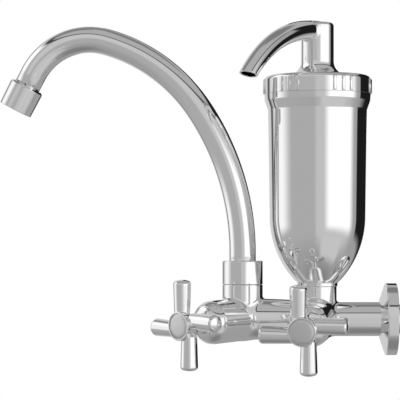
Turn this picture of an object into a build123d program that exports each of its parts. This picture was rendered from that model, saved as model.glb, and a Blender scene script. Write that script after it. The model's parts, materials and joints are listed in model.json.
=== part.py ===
from build123d import *
from math import asin, cos, radians, sin, sqrt
import os

# Wall mounted kitchen faucet with a filter, in millimetres.
# The origin is on the wall, on the axis of the inlet thread. Z is up, and the
# faucet reaches away from the wall along -Y. The handles stand on the +X side.

# Place of the filter's upright axis, measured from the wall, and the free
# space between the bowl's rim and the rising tube of the swan neck
filter_reach = 55.0
neck_space = 6.1

# Fits and small clearances
thread_fit = 0.05
running_fit = 0.1
turning_gap = 0.2
disc_gap = 0.05
seal_gap = 0.05
groove_slack = 0.1
overrun = 1.0

# Inlet: G1/2 thread, pipe and wall flange
thread_radius = 10.48
thread_length = 14.0
thread_chamfer = 1.2
thread_relief_width = 2.0
thread_relief_depth = 1.1
waterway_radius = 7.0
pipe_radius = 11.75
flange_radius = 25.1
flange_rim = 7.4
flange_cone_height = 4.0
flange_wall = 1.8
flange_edge = 1.0
flange_fit = 0.15
flange_inner_drop = 0.5

# Cast body between the two tees
bridge_small_radius = 13.0
bridge_large_radius = 14.3
bridge_taper_run = 12.5
filter_neck_radius = 13.35
filter_neck_top = 23.0
spout_neck_radius = 14.15
spout_neck_top = 24.2
well_floor = 10.5
spout_well_gap = 0.6

# Valve branches: a round knuckle with a rounded shoulder
branch_radius = 15.0
branch_straight = 29.5
branch_shoulder = 10.0
branch_face_radius = 11.6
main_branch_turn = 46.4
main_branch_dip = 3.2
filter_branch_turn = 13.5
filter_branch_dip = 6.4
seat_hole_radius = 4.5
seat_floor = 12.5
port_radius = 2.5
port_inner_reach = 3.5
port_inner_height = 11.5
port_outer_reach = 17.0
port_outer_height = 4.0

# Headwork, the quarter turn valve insert
headwork_thread_radius = 10.48
headwork_thread_start = 27.0
headwork_groove_width = 1.6
headwork_seal_section = 0.6
headwork_groove_land = 0.6
cage_radius = 8.7
cage_bore_radius = 7.6
cage_start = 13.6
cage_roof = 25.0
window_width = 8.0
window_height = 3.6
bonnet_radius = 7.2
bonnet_end = 48.0
bonnet_edge = 0.6

# Ceramic discs and their rubber seat
seat_seal_bore = 5.0
seat_seal_height = 2.5
disc_height = 3.0
disc_slot_depth = 1.0
disc_window_inner = 2.2
disc_window_outer = 5.9
disc_window_angle = 80.0

# Spindle
spindle_radius = 4.0
drive_height = 2.2
tongue_width = 3.0
tongue_length = 11.0
spindle_groove_at = 40.5
spindle_groove_width = 1.4
spindle_groove_depth = 1.1
spindle_seal_section = 0.53
square_width = 6.0
square_length = 6.6
spindle_tap_depth = 7.0

# Cross handle
handle_front = 62.1
handle_lift = 0.5
handle_back_radius = 6.6
handle_front_radius = 10.15
handle_front_edge = 1.0
arm_plane_depth = 7.5
arm_reach = 31.0
arm_root_radius = 5.2
arm_tip_radius = 6.15
arm_tip_edge = 1.6
arm_tip_dome = 0.9
arm_fillet = 0.6
arm_root_zone = 2.0
arm_count = 4
arm_offset = 3.44
main_cross_turn = -3.1
filter_cross_turn = -1.0
web_thickness = 1.8
screw_radius = 1.95
screw_length = 6.5
screw_head_radius = 3.5
screw_head_height = 2.1
screw_head_gap = 0.4
screw_slot_width = 0.9
screw_slot_depth = 1.0
cap_disc_radius = 8.8
cap_disc_height = 2.1
cap_disc_dome = 0.5
cap_disc_edge = 0.4
cap_recess_gap = 0.12

# Main spout
spout_rest_turn = -7.0
spout_radius = 9.3
spout_wall = 1.1
spout_rise_end = 46.9
spout_radii = (179.4, 119.5, 45.2)
spout_turns = (34.1, 39.8, 78.4)
spout_outlet_length = 17.2
collar_radius = 14.15
collar_top = 40.8
collar_edge = 1.0
collar_seam = 0.2
tube_seat_height = 27.0
spigot_radius = 10.0
spigot_bore = 6.5
spigot_start = 12.8
spigot_seal_heights = (14.6, 17.8)
spigot_groove_width = 2.0
spigot_seal_section = 0.75
ring_height = 21.0
ring_thickness = 1.2
ring_gap_angle = 40.0
ring_side_gap = 0.05
ring_out = 0.7
ring_in = 0.85
ring_outer_groove = 0.8
ring_inner_groove = 1.0
slip_washer_outer = 12.6
slip_washer_height = 0.9
slip_washer_proud = 0.15

# Aerator on the end of the spout
bush_radius = 10.7
bush_length = 7.8
bush_lip = 0.8
aerator_top_radius = 12.3
aerator_mouth_radius = 12.0
aerator_length = 18.8
aerator_cover = 8.0
aerator_chamfer = 1.2
aerator_edge = 0.4
aerator_lip = 1.0
aerator_lip_radius = 9.6
aerator_washer_bore = 7.6
aerator_washer_height = 1.5
aerator_fit = 0.15
insert_wall = 1.4
insert_floor = 1.6
insert_hub_radius = 2.0
insert_ring_radius = 5.4
insert_ring_width = 0.9
insert_spokes = 8
insert_spoke_width = 0.9

# Filter bowl
bowl_wall = 2.4
bowl_neck_radius = 14.0
bowl_neck_height = 2.6
bowl_neck_blend = 2.0
bowl_seat = 13.0
bowl_curve_radius = 66.0
bowl_curve_end = 72.0
bowl_waist_step = 3.7
bowl_upper_step = 2.7
bowl_flare_start = 144.5
bowl_flare_low = 147.4
bowl_flare_high = 152.8
bowl_flare_end = 154.6
bowl_flare_step = 0.6
bowl_rim_radius = 37.1
bowl_seam = 157.2
bowl_mouth_top = 165.6
bowl_thread_step = 2.5
bowl_mouth_wall = 3.0
bowl_spigot_radius = 10.45
bowl_seal_height = 1.0
bowl_bore = 6.5
bowl_rib_count = 4
bowl_rib_width = 2.0
bowl_rib_height = 12.0
bowl_rib_start = 10.0

# Filter cap
cap_top = 169.9
cap_roof = 3.5
cap_edge = 3.0
cap_bore_gap = 0.3
cap_groups = 6
cap_group_start = 25.0
ribs_in_group = 3
rib_pitch = 10.0
rib_proud = 1.0
rib_width = 1.9
rib_top = 167.4
rib_root = 0.5
rib_chamfer = 0.4
cap_ring_wall = 2.2
cap_ring_depth = 7.4
cap_ring_seal_section = 0.8
cap_ring_seal_height = 162.6
cap_ring_seal_gap = 0.08
cap_groove_width = 2.0
boss_radius = 11.5
boss_bottom = 152.0
boss_web_bottom = 156.6
boss_web_top = 158.0
boss_web_bore = 4.0
nozzle_socket_gap = 0.3

# Filter cartridge
cartridge_space = 6.0
cartridge_bottom = 61.0
cartridge_end_height = 3.0
cartridge_rim_height = 4.0
cartridge_top = 151.0
cartridge_cup_wall = 1.4
block_bore = 8.0
nozzle_radius = 6.1
nozzle_top = 156.2
nozzle_bore = 3.0
nozzle_seal_section = 0.75
nozzle_seal_height = 154.2
nozzle_groove_width = 2.0

# Filter spout: post and tapered curved tube
filter_spout_turn = 52.0
post_radius = 11.4
post_top = 207.8
post_edge = 2.0
post_dome = 0.6
post_flare = 9.5
post_base_height = 0.8
post_spigot_radius = 8.0
post_bore = 5.0
post_seal_height = 160.6
post_seal_section = 0.7
post_groove_width = 1.9
post_ring_height = 164.6
nose_height = 201.3
nose_straight = 4.1
nose_bend_radius = 100.8
nose_bend_angle = 50.0
nose_root_radius = 6.9
nose_tip_radius = 5.9
nose_wall = 1.2
nose_mouth_tilt = 15.0


def turned(*outline):
    """Solid of revolution about Z from (radius, height) points."""
    return revolve(Plane.XZ * make_face(Polyline(*outline, close=True)), Axis.Z)


def tube(outer, inner, bottom, top):
    """Round tube between two heights."""
    return turned((inner, bottom), (outer, bottom), (outer, top), (inner, top))


def rod(radius, bottom, top):
    """Round bar between two heights."""
    return Pos(0, 0, bottom) * Cylinder(radius, top - bottom, align=seated)


def ring_seal(centre_radius, section, height):
    """Round rubber ring."""
    return Pos(0, 0, height) * Torus(centre_radius, section)


def split_ring(outer, inner, bottom, thickness):
    """Flat snap ring with a gap on one side."""
    ring = tube(outer, inner, bottom, bottom + thickness)
    gap = 2 * outer * sin(radians(ring_gap_angle / 2))
    return ring - Pos(outer, 0, bottom) * Box(outer, gap, 4 * thickness)


def ring_seat(well_radius, height):
    """Cutter for the groove in a well where a snap ring sits."""
    low = height - ring_side_gap
    return rod(well_radius + ring_outer_groove, low, height + ring_thickness + ring_side_gap)


def ring_slot(spigot_outer, height):
    """Cutter for the wider groove on a spigot that a snap ring runs in."""
    low = height - turning_gap
    high = height + ring_thickness + turning_gap
    return tube(spigot_outer + overrun, spigot_outer - ring_inner_groove, low, high)


def crown_middle(rim_radius, rise):
    """Radius and drop of the middle of a crown arc, which is part of a ball."""
    ball = (rim_radius**2 + rise**2) / (2 * rise)
    half = asin(rim_radius / ball) / 2
    return ball * sin(half), ball * (1 - cos(half))


def between(radius, start, end):
    """Round bar from one point to another."""
    line = Line(start, end)
    section = Plane(line @ 0, z_dir=line % 0) * Circle(radius)
    return extrude(section, line.length)


seated = (Align.CENTER, Align.CENTER, Align.MIN)

# Radii of the bowl and its cartridge, and the reach of the swan neck
bowl_waist_radius = bowl_rim_radius - bowl_waist_step
bowl_upper_radius = bowl_rim_radius - bowl_upper_step
bowl_thread_radius = bowl_rim_radius - bowl_thread_step
bowl_mouth_radius = bowl_thread_radius - bowl_mouth_wall
cartridge_radius = bowl_waist_radius - bowl_wall - cartridge_space
block_radius = cartridge_radius - cartridge_cup_wall
spout_reach = filter_reach + bowl_rim_radius + neck_space + spout_radius

# Frames that the pieces are placed in
wall_frame = Plane(origin=(0, 0, 0), x_dir=(1, 0, 0), z_dir=(0, -1, 0)).location
filter_axis = Pos(0, -filter_reach, 0)
spout_axis = Pos(0, -spout_reach, 0)
spout_frame = spout_axis * Rot(0, 0, spout_rest_turn - 90)
nose_frame = filter_axis * Rot(0, 0, filter_spout_turn - 90)


def branch_frame(reach, turn, dip):
    """Frame of a valve branch: Z runs out along the branch, X is level."""
    level = radians(turn)
    fall = radians(dip)
    out = (cos(level) * cos(fall), -sin(level) * cos(fall), -sin(fall))
    across = (sin(level), cos(level), 0)
    return Plane(origin=(0, -reach, 0), x_dir=across, z_dir=out).location


main_branch = branch_frame(spout_reach, main_branch_turn, main_branch_dip)
filter_branch = branch_frame(filter_reach, filter_branch_turn, filter_branch_dip)

# Levels worked out from the sizes
spout_well = spigot_start - spout_well_gap
bowl_spigot_start = bowl_seat + bowl_seal_height
shoulder_centre = branch_radius - branch_shoulder
branch_face = branch_straight + sqrt(
    branch_shoulder**2 - (branch_face_radius - shoulder_centre) ** 2
)
fixed_disc_start = seat_floor + seat_seal_height
moving_disc_start = fixed_disc_start + disc_height + disc_gap
moving_disc_end = moving_disc_start + disc_height
drive_start = cage_roof - drive_height - turning_gap
handle_back = bonnet_end + handle_lift
arm_plane = handle_front - arm_plane_depth
cap_disc_start = handle_front - cap_disc_height
screw_seat = cap_disc_start - cap_recess_gap - screw_head_height - screw_head_gap
spindle_end = screw_seat - web_thickness - turning_gap
square_start = spindle_end - square_length
collar_bottom = spout_neck_top + collar_seam
branch_thread_radius = headwork_thread_radius + thread_fit
spout_well_radius = spigot_radius + running_fit
post_well_radius = post_spigot_radius + running_fit
post_bottom = cap_top + turning_gap
cap_roof_bottom = cap_top - cap_roof
cap_ring_radius = bowl_mouth_radius - turning_gap
aerator_bore = bush_radius + thread_fit


def branch_outline():
    """Half outline of a branch from its root to its end face."""
    wall = Line((branch_radius, 0), (branch_radius, branch_straight))
    shoulder = RadiusArc(
        (branch_radius, branch_straight),
        (branch_face_radius, branch_face),
        -branch_shoulder,
    )
    face = Polyline(
        (branch_face_radius, branch_face), (0, branch_face), (0, 0), (branch_radius, 0)
    )
    return make_face([wall, shoulder, face])


def branch_solid():
    """Round knuckle and branch of one valve, solid."""
    barrel = revolve(Plane.XZ * branch_outline(), Axis.Z)
    return barrel + Sphere(branch_radius)


def branch_hollow():
    """Seat hole and threaded chamber of one valve."""
    return rod(seat_hole_radius, 0, seat_floor + overrun) + rod(
        branch_thread_radius, seat_floor, branch_face + overrun
    )


def riser_port(turn):
    """Drilling from a valve chamber up into the well above its tee."""
    start = (port_outer_reach, 0, port_outer_height)
    end = (port_inner_reach, 0, port_inner_height)
    return Rot(0, 0, -turn) * between(port_radius, start, end)


def inlet_stub():
    """Threaded end that goes into the wall, along +Z of its own frame."""
    root = thread_radius - thread_relief_depth
    return turned(
        (0, 0),
        (root, 0),
        (root, thread_relief_width),
        (thread_radius, thread_relief_width + thread_relief_depth),
        (thread_radius, thread_length - thread_chamfer),
        (thread_radius - thread_chamfer, thread_length),
        (0, thread_length),
    )


def body_outside():
    """Outer form of the casting."""
    pipe = wall_frame * rod(pipe_radius, 0, filter_reach)
    bridge = wall_frame * turned(
        (0, filter_reach),
        (bridge_small_radius, filter_reach),
        (bridge_large_radius, spout_reach - bridge_taper_run),
        (bridge_large_radius, spout_reach),
        (0, spout_reach),
    )
    stub = wall_frame * Rot(180, 0, 0) * inlet_stub()
    filter_neck = filter_axis * rod(filter_neck_radius, 0, filter_neck_top)
    spout_neck = spout_axis * rod(spout_neck_radius, 0, spout_neck_top)
    body = pipe + bridge + stub + filter_neck + spout_neck
    return body + main_branch * branch_solid() + filter_branch * branch_solid()


def body_hollow():
    """Waterways, wells and threads inside the casting."""
    waterway = wall_frame * rod(waterway_radius, -thread_length - overrun, spout_reach)
    socket_radius = bowl_spigot_radius + thread_fit
    bowl_socket = rod(socket_radius, bowl_seat, filter_neck_top + overrun)
    filter_drain = rod(waterway_radius, well_floor, bowl_seat + overrun)
    filter_well = filter_axis * (filter_drain + bowl_socket)
    spigot_well = rod(spout_well_radius, spout_well, spout_neck_top + overrun)
    ring_groove = ring_seat(spout_well_radius, ring_height)
    washer_seat = rod(
        slip_washer_outer + running_fit,
        spout_neck_top + slip_washer_proud - slip_washer_height,
        spout_neck_top + overrun,
    )
    spout_well_cut = rod(waterway_radius, well_floor, spout_well + overrun) + spigot_well
    spout_cut = spout_axis * (spout_well_cut + ring_groove + washer_seat)
    valves = main_branch * branch_hollow() + filter_branch * branch_hollow()
    ports = filter_axis * riser_port(filter_branch_turn) + spout_axis * riser_port(main_branch_turn)
    return waterway + filter_well + spout_cut + valves + ports


def valve_body():
    """One casting: inlet, two tees and two valve branches."""
    return body_outside() - body_hollow()


def wall_flange():
    """Dished escutcheon that slides over the pipe against the wall."""
    bore = pipe_radius + flange_fit
    crown = flange_rim + flange_cone_height
    outside = Polyline(
        (flange_radius, 0),
        (flange_radius, flange_rim - flange_edge),
        (flange_radius - flange_edge, flange_rim),
        (bore + flange_wall, crown),
        (bore, crown),
    )
    inside = Polyline(
        (bore, crown),
        (bore, crown - flange_wall - flange_inner_drop),
        (flange_radius - flange_wall, flange_rim - flange_wall - flange_inner_drop),
        (flange_radius - flange_wall, 0),
        (flange_radius, 0),
    )
    return wall_frame * revolve(Plane.XZ * make_face([outside, inside]), Axis.Z)


def headwork():
    """Turned insert that holds the discs and the spindle of one valve."""
    thread = headwork_thread_radius
    bore = spindle_radius + running_fit / 2
    groove_top = branch_face - headwork_groove_land
    groove_bottom = groove_top - headwork_groove_width
    floor = thread - 2 * headwork_seal_section - thread_fit
    dome_radius = branch_shoulder
    dome_end = branch_straight + sqrt(dome_radius**2 - (bonnet_radius - shoulder_centre) ** 2)
    lower = Polyline(
        (bore, cage_roof),
        (cage_bore_radius, cage_roof),
        (cage_bore_radius, cage_start),
        (cage_radius, cage_start),
        (cage_radius, headwork_thread_start),
        (thread, headwork_thread_start + thread - cage_radius),
        (thread, groove_bottom),
        (floor, groove_bottom),
        (floor, groove_top),
        (thread, groove_top),
        (thread, branch_face),
        (branch_face_radius, branch_face),
    )
    dome = RadiusArc(
        (branch_face_radius, branch_face), (bonnet_radius, dome_end), -dome_radius
    )
    upper = Polyline(
        (bonnet_radius, dome_end),
        (bonnet_radius, bonnet_end - bonnet_edge),
        (bonnet_radius - bonnet_edge, bonnet_end),
        (bore, bonnet_end),
        (bore, cage_roof),
    )
    body = revolve(Plane.XZ * make_face([lower, dome, upper]), Axis.Z)
    window_centre = cage_roof - window_height / 2
    window = Pos(0, 0, window_centre) * Box(4 * cage_radius, window_width, window_height)
    core = rod(cage_bore_radius, cage_start, cage_roof)
    return body - (window - core)


def headwork_seal():
    """Ring that seals the headwork to the branch."""
    height = branch_face - headwork_groove_land - headwork_groove_width / 2
    return ring_seal(
        headwork_thread_radius - headwork_seal_section, headwork_seal_section, height
    )


def seat_seal():
    """Rubber ring between the branch floor and the fixed disc."""
    return tube(cage_bore_radius - running_fit, seat_seal_bore, seat_floor, fixed_disc_start)


def disc_blank(bottom):
    """Ceramic disc with two sector windows."""
    disc = rod(cage_bore_radius - running_fit, bottom, bottom + disc_height)
    half = radians(disc_window_angle / 2)
    reach = disc_window_outer / cos(half / 2)
    corners = [
        (disc_window_inner * cos(half), -disc_window_inner * sin(half)),
        (disc_window_outer * cos(half), -disc_window_outer * sin(half)),
        (reach * cos(half / 2), -reach * sin(half / 2)),
        (reach * cos(half / 2), reach * sin(half / 2)),
        (disc_window_outer * cos(half), disc_window_outer * sin(half)),
        (disc_window_inner * cos(half), disc_window_inner * sin(half)),
    ]
    window = extrude(make_face(Polyline(*corners, close=True)), 3 * disc_height)
    pair = [Rot(0, 0, turn) * Pos(0, 0, bottom - disc_height) * window for turn in (0, 180)]
    return disc - pair


def fixed_disc():
    """Lower ceramic disc, held still by the cage."""
    return disc_blank(fixed_disc_start)


def moving_disc():
    """Upper ceramic disc, turned by the spindle and closed at rest."""
    slot = Pos(0, 0, moving_disc_end) * Box(
        tongue_length + 2 * running_fit, tongue_width + 2 * running_fit, 2 * disc_slot_depth
    )
    return Rot(0, 0, 90) * disc_blank(moving_disc_start) - slot


def spindle():
    """Spindle with its driving tongue below and a square above."""
    drive = rod(cage_bore_radius - 2 * running_fit, drive_start, drive_start + drive_height)
    tongue_bottom = moving_disc_end - disc_slot_depth + running_fit
    tongue = Pos(0, 0, tongue_bottom) * Box(
        tongue_length, tongue_width, drive_start - tongue_bottom + overrun, align=seated
    )
    shaft = rod(spindle_radius, drive_start, square_start)
    square = Pos(0, 0, square_start) * Box(square_width, square_width, square_length, align=seated)
    groove = tube(
        spindle_radius + overrun,
        spindle_radius - spindle_groove_depth,
        spindle_groove_at,
        spindle_groove_at + spindle_groove_width,
    )
    tapped = rod(screw_radius + thread_fit, spindle_end - spindle_tap_depth, spindle_end + overrun)
    return drive + tongue + shaft + square - groove - tapped


def spindle_seal():
    """Ring in the spindle's groove."""
    centre = spindle_radius - spindle_groove_depth + seal_gap + spindle_seal_section
    return ring_seal(centre, spindle_seal_section, spindle_groove_at + spindle_groove_width / 2)


def handle_arm():
    """One tapered arm of the cross, along +X, with a slightly domed end."""
    side_end = arm_reach - arm_tip_dome - arm_tip_edge
    flat = arm_tip_radius - arm_tip_edge
    root = Polyline((side_end, arm_tip_radius), (0, arm_root_radius), (0, 0), (arm_reach, 0))
    middle, drop = crown_middle(flat, arm_tip_dome)
    dome = ThreePointArc((arm_reach, 0), (arm_reach - drop, middle), (arm_reach - arm_tip_dome, flat))
    corner = RadiusArc((arm_reach - arm_tip_dome, flat), (side_end, arm_tip_radius), -arm_tip_edge)
    return revolve(Plane.XZ * make_face([root, dome, corner]), Axis.X)


def handle_hub():
    """Conical hub of the cross, solid."""
    edge = handle_front_edge
    side = Polyline(
        (0, handle_front),
        (0, handle_back),
        (handle_back_radius, handle_back),
        (handle_front_radius, handle_front - edge),
    )
    corner = RadiusArc(
        (handle_front_radius, handle_front - edge), (handle_front_radius - edge, handle_front), -edge
    )
    front = Line((handle_front_radius - edge, handle_front), (0, handle_front))
    return revolve(Plane.XZ * make_face([side, corner, front]), Axis.Z)


def is_arm_root(edge):
    """True for an edge where an arm grows out of the hub."""
    middle = edge.center()
    reach = sqrt(middle.X**2 + middle.Y**2)
    near = handle_back_radius - arm_root_zone < reach < handle_front_radius
    return near and abs(middle.Z - arm_plane) < arm_root_radius


def cross_handle():
    """Cross handle whose arms stand off the centre like a pinwheel's."""
    arm = Pos(0, arm_offset, arm_plane) * handle_arm()
    arms = [Rot(0, 0, 360 / arm_count * k) * arm for k in range(arm_count)]
    cross = handle_hub() + arms
    roots = cross.edges().filter_by(is_arm_root)
    cross = fillet(roots, arm_fillet)
    socket = Pos(0, 0, handle_back) * Box(
        square_width + running_fit,
        square_width + running_fit,
        spindle_end + turning_gap - handle_back,
        align=seated,
    )
    mouth = rod(spindle_radius + turning_gap, handle_back - overrun, square_start + turning_gap)
    screw_hole = rod(screw_radius + running_fit, handle_back, handle_front)
    screw_well = rod(screw_head_radius + turning_gap, screw_seat, handle_front)
    recess_floor = cap_disc_start - cap_recess_gap
    recess = rod(cap_disc_radius + cap_recess_gap, recess_floor, handle_front + overrun)
    return cross - socket - mouth - screw_hole - screw_well - recess


def handle_screw():
    """Slotted screw that holds the handle on its spindle."""
    head = rod(screw_head_radius, screw_seat, screw_seat + screw_head_height)
    shank = rod(screw_radius, screw_seat - screw_length, screw_seat)
    slot = Pos(0, 0, screw_seat + screw_head_height) * Box(
        3 * screw_head_radius, screw_slot_width, 2 * screw_slot_depth
    )
    return head + shank - slot


def handle_cap():
    """Plain disc that covers the handle screw."""
    rim = handle_front - cap_disc_dome
    edge = cap_disc_edge
    side = Polyline(
        (0, handle_front),
        (0, cap_disc_start),
        (cap_disc_radius, cap_disc_start),
        (cap_disc_radius, rim - edge),
        (cap_disc_radius - edge, rim),
    )
    middle, drop = crown_middle(cap_disc_radius - edge, cap_disc_dome)
    dome = ThreePointArc(
        (cap_disc_radius - edge, rim), (middle, handle_front - drop), (0, handle_front)
    )
    return revolve(Plane.XZ * make_face([side, dome]), Axis.Z)


def spout_path():
    """Centre line of the swan neck: a rise, three arcs and a straight outlet."""
    pieces = [Line((0, tube_seat_height), (0, spout_rise_end))]
    for radius, turn in zip(spout_radii, spout_turns):
        pieces.append(JernArc(pieces[-1] @ 1, pieces[-1] % 1, radius, -turn))
    end = pieces[-1] @ 1 + (pieces[-1] % 1) * spout_outlet_length
    pieces.append(Line(pieces[-1] @ 1, end))
    return Plane.XZ * Wire(pieces)


def spout_tube():
    """Bent tube of the swan neck, open at both ends."""
    path = spout_path()
    ring = Circle(spout_radius) - Circle(spout_radius - spout_wall)
    return sweep(Plane(path @ 0, z_dir=path % 0) * ring, path)


def outlet_frame():
    """Frame on the outlet end of the tube: Z runs out of the mouth."""
    path = spout_path()
    return spout_frame * Plane(path @ 1, x_dir=(0, 1, 0), z_dir=path % 1).location


def spout_collar():
    """Collar and spigot turned in one, with grooves for two seals and a ring."""
    collar = turned(
        (spigot_bore, collar_bottom),
        (collar_radius, collar_bottom),
        (collar_radius, collar_top - collar_edge),
        (collar_radius - collar_edge, collar_top),
        (spigot_bore, collar_top),
    )
    collar = collar + tube(spigot_radius, spigot_bore, spigot_start, collar_bottom + overrun)
    collar = collar - rod(spout_radius + thread_fit, tube_seat_height, collar_top + overrun)
    floor = spout_well_radius - 2 * spigot_seal_section - groove_slack
    for height in spigot_seal_heights:
        top = height + spigot_groove_width
        collar = collar - tube(spigot_radius + overrun, floor, height, top)
    return collar - ring_slot(spigot_radius, ring_height)


def spout_seal(height):
    """Ring in one groove of the spigot."""
    centre = spout_well_radius - seal_gap - spigot_seal_section
    return ring_seal(centre, spigot_seal_section, height + spigot_groove_width / 2)


def spout_snap_ring():
    """Snap ring that keeps the spout in its well."""
    outer = spout_well_radius + ring_out
    return split_ring(outer, spigot_radius - ring_in, ring_height, ring_thickness)


def spout_slip_washer():
    """Plastic washer that the collar turns on."""
    top = spout_neck_top + slip_washer_proud
    return tube(slip_washer_outer, spout_well_radius + turning_gap, top - slip_washer_height, top)


def spout_bush():
    """Threaded bush brazed on the end of the tube."""
    sleeve = tube(bush_radius, spout_radius + thread_fit, -bush_length, 0)
    return sleeve + tube(bush_radius, spout_radius - spout_wall, 0, bush_lip)


def aerator_shell():
    """Sleeve that screws on the bush and holds the aerator insert."""
    top = -aerator_cover
    bottom = top + aerator_length
    return turned(
        (aerator_bore, top),
        (aerator_top_radius - aerator_chamfer, top),
        (aerator_top_radius, top + aerator_chamfer),
        (aerator_mouth_radius, bottom - aerator_edge),
        (aerator_mouth_radius - aerator_edge, bottom),
        (aerator_lip_radius, bottom),
        (aerator_lip_radius, bottom - aerator_lip),
        (aerator_bore, bottom - aerator_lip),
    )


def aerator_washer():
    """Flat rubber washer above the insert."""
    outer = aerator_bore - aerator_fit
    return tube(outer, aerator_washer_bore, bush_lip, bush_lip + aerator_washer_height)


def aerator_insert():
    """Plastic cup with a spoked outlet grid."""
    start = bush_lip + aerator_washer_height
    end = aerator_length - aerator_cover - aerator_lip
    outer = aerator_bore - aerator_fit
    cup = tube(outer, outer - insert_wall, start, end)
    floor = end - insert_floor
    hub = rod(insert_hub_radius, floor, end)
    middle = tube(
        insert_ring_radius + insert_ring_width / 2,
        insert_ring_radius - insert_ring_width / 2,
        floor,
        end,
    )
    reach = outer - insert_wall / 2
    spoke = Pos(reach / 2, 0, floor) * Box(reach, insert_spoke_width, insert_floor, align=seated)
    spokes = [Rot(0, 0, 360 / insert_spokes * k) * spoke for k in range(insert_spokes)]
    return cup + hub + middle + spokes


def bowl_curve_start():
    """Height and radius where the rounded bottom meets the neck blend."""
    centre = bowl_waist_radius - bowl_curve_radius
    radius = bowl_neck_radius + bowl_neck_blend
    drop = sqrt(bowl_curve_radius**2 - (radius - centre) ** 2)
    return bowl_curve_end - drop, radius


def filter_bowl():
    """Bottle shaped bowl with a threaded spigot below and a threaded mouth."""
    low, low_radius = bowl_curve_start()
    wall = bowl_wall
    neck_top = filter_neck_top + bowl_neck_height
    inner_low_radius = low_radius - wall
    inner_centre = bowl_waist_radius - bowl_curve_radius
    inner_curve = bowl_curve_radius - wall
    inner_low = bowl_curve_end - sqrt(inner_curve**2 - (inner_low_radius - inner_centre) ** 2)
    spigot = bowl_spigot_radius
    outside = [
        Polyline(
            (bowl_bore, bowl_spigot_start),
            (spigot, bowl_spigot_start),
            (spigot, filter_neck_top),
            (bowl_neck_radius, filter_neck_top),
            (bowl_neck_radius, neck_top),
            (low_radius, low),
        ),
        RadiusArc((low_radius, low), (bowl_waist_radius, bowl_curve_end), -bowl_curve_radius),
        Polyline(
            (bowl_waist_radius, bowl_curve_end),
            (bowl_upper_radius, bowl_flare_start),
            (bowl_upper_radius + bowl_flare_step, bowl_flare_low),
            (bowl_rim_radius - bowl_flare_step, bowl_flare_high),
            (bowl_rim_radius, bowl_flare_end),
            (bowl_rim_radius, bowl_seam - turning_gap),
            (bowl_thread_radius, bowl_seam - turning_gap),
            (bowl_thread_radius, bowl_mouth_top),
            (bowl_mouth_radius, bowl_mouth_top),
            (bowl_mouth_radius, bowl_flare_start),
            (bowl_waist_radius - wall, bowl_curve_end),
        ),
        RadiusArc(
            (bowl_waist_radius - wall, bowl_curve_end), (inner_low_radius, inner_low), inner_curve
        ),
        Polyline(
            (inner_low_radius, inner_low),
            (bowl_bore, neck_top),
            (bowl_bore, bowl_spigot_start),
        ),
    ]
    shell = revolve(Plane.XZ * make_face(outside), Axis.Z)
    return shell + bowl_ribs()


def bowl_ribs():
    """Ribs inside the rounded bottom that carry the cartridge."""
    top = cartridge_bottom
    bottom = top - bowl_rib_height
    centre = bowl_waist_radius - bowl_curve_radius
    reach = bowl_curve_radius - bowl_wall / 2
    outer = centre + sqrt(reach**2 - (bowl_curve_end - bottom) ** 2)
    length = outer - bowl_rib_start
    rib = Pos(bowl_rib_start + length / 2, 0, bottom) * Box(
        length, bowl_rib_width, bowl_rib_height, align=seated
    )
    return [Rot(0, 0, 360 / bowl_rib_count * k) * rib for k in range(bowl_rib_count)]


def bowl_seal():
    """Flat washer under the bowl's spigot."""
    return tube(bowl_spigot_radius - running_fit, waterway_radius, bowl_seat, bowl_spigot_start)


def cap_shell():
    """Outer form of the cap, turned, without its ribs."""
    bore = bowl_thread_radius + cap_bore_gap
    side = Polyline(
        (0, cap_roof_bottom),
        (bore, cap_roof_bottom),
        (bore, bowl_seam),
        (bowl_rim_radius, bowl_seam),
        (bowl_rim_radius, cap_top - cap_edge),
    )
    corner = RadiusArc(
        (bowl_rim_radius, cap_top - cap_edge), (bowl_rim_radius - cap_edge, cap_top), -cap_edge
    )
    top = Polyline((bowl_rim_radius - cap_edge, cap_top), (0, cap_top), (0, cap_roof_bottom))
    return revolve(Plane.XZ * make_face([side, corner, top]), Axis.Z)


def cap_rib_angles():
    """Directions of the grip ribs: groups of three, evenly spaced."""
    first = -(ribs_in_group - 1) / 2
    return [
        cap_group_start + 360 / cap_groups * group + rib_pitch * (first + k)
        for group in range(cap_groups)
        for k in range(ribs_in_group)
    ]


def filter_cap():
    """Ribbed cap with a threaded skirt, a seal ring and a central boss."""
    height = rib_top - bowl_seam
    depth = rib_proud + rib_root
    rib = Pos(bowl_rim_radius + rib_proud - depth / 2, 0, bowl_seam) * Box(
        depth, rib_width, height, align=seated
    )
    rib = chamfer(rib.edges().filter_by(Axis.Z).sort_by(Axis.X)[-2:], rib_chamfer)
    ribs = [Rot(0, 0, angle) * rib for angle in cap_rib_angles()]
    ring_inner = cap_ring_radius - cap_ring_wall
    ring_bottom = cap_roof_bottom - cap_ring_depth
    ring = tube(cap_ring_radius, ring_inner, ring_bottom, cap_roof_bottom + overrun)
    seal_floor = bowl_mouth_radius - groove_slack - 2 * cap_ring_seal_section
    groove_low = cap_ring_seal_height - cap_groove_width / 2
    groove_high = groove_low + cap_groove_width
    groove = tube(cap_ring_radius + overrun, seal_floor, groove_low, groove_high)
    boss = rod(boss_radius, boss_bottom, cap_roof_bottom + overrun)
    web_hole = rod(boss_web_bore, boss_bottom, cap_top)
    socket = rod(nozzle_radius + nozzle_socket_gap, boss_bottom - overrun, boss_web_bottom)
    well = rod(post_well_radius, boss_web_top, cap_top + overrun)
    ring_cut = ring_seat(post_well_radius, post_ring_height)
    return cap_shell() + ribs + (ring - groove) + boss - web_hole - socket - well - ring_cut


def cap_seal():
    """Ring between the cap and the bowl's mouth."""
    centre = bowl_mouth_radius - cap_ring_seal_gap - cap_ring_seal_section
    return ring_seal(centre, cap_ring_seal_section, cap_ring_seal_height)


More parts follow.
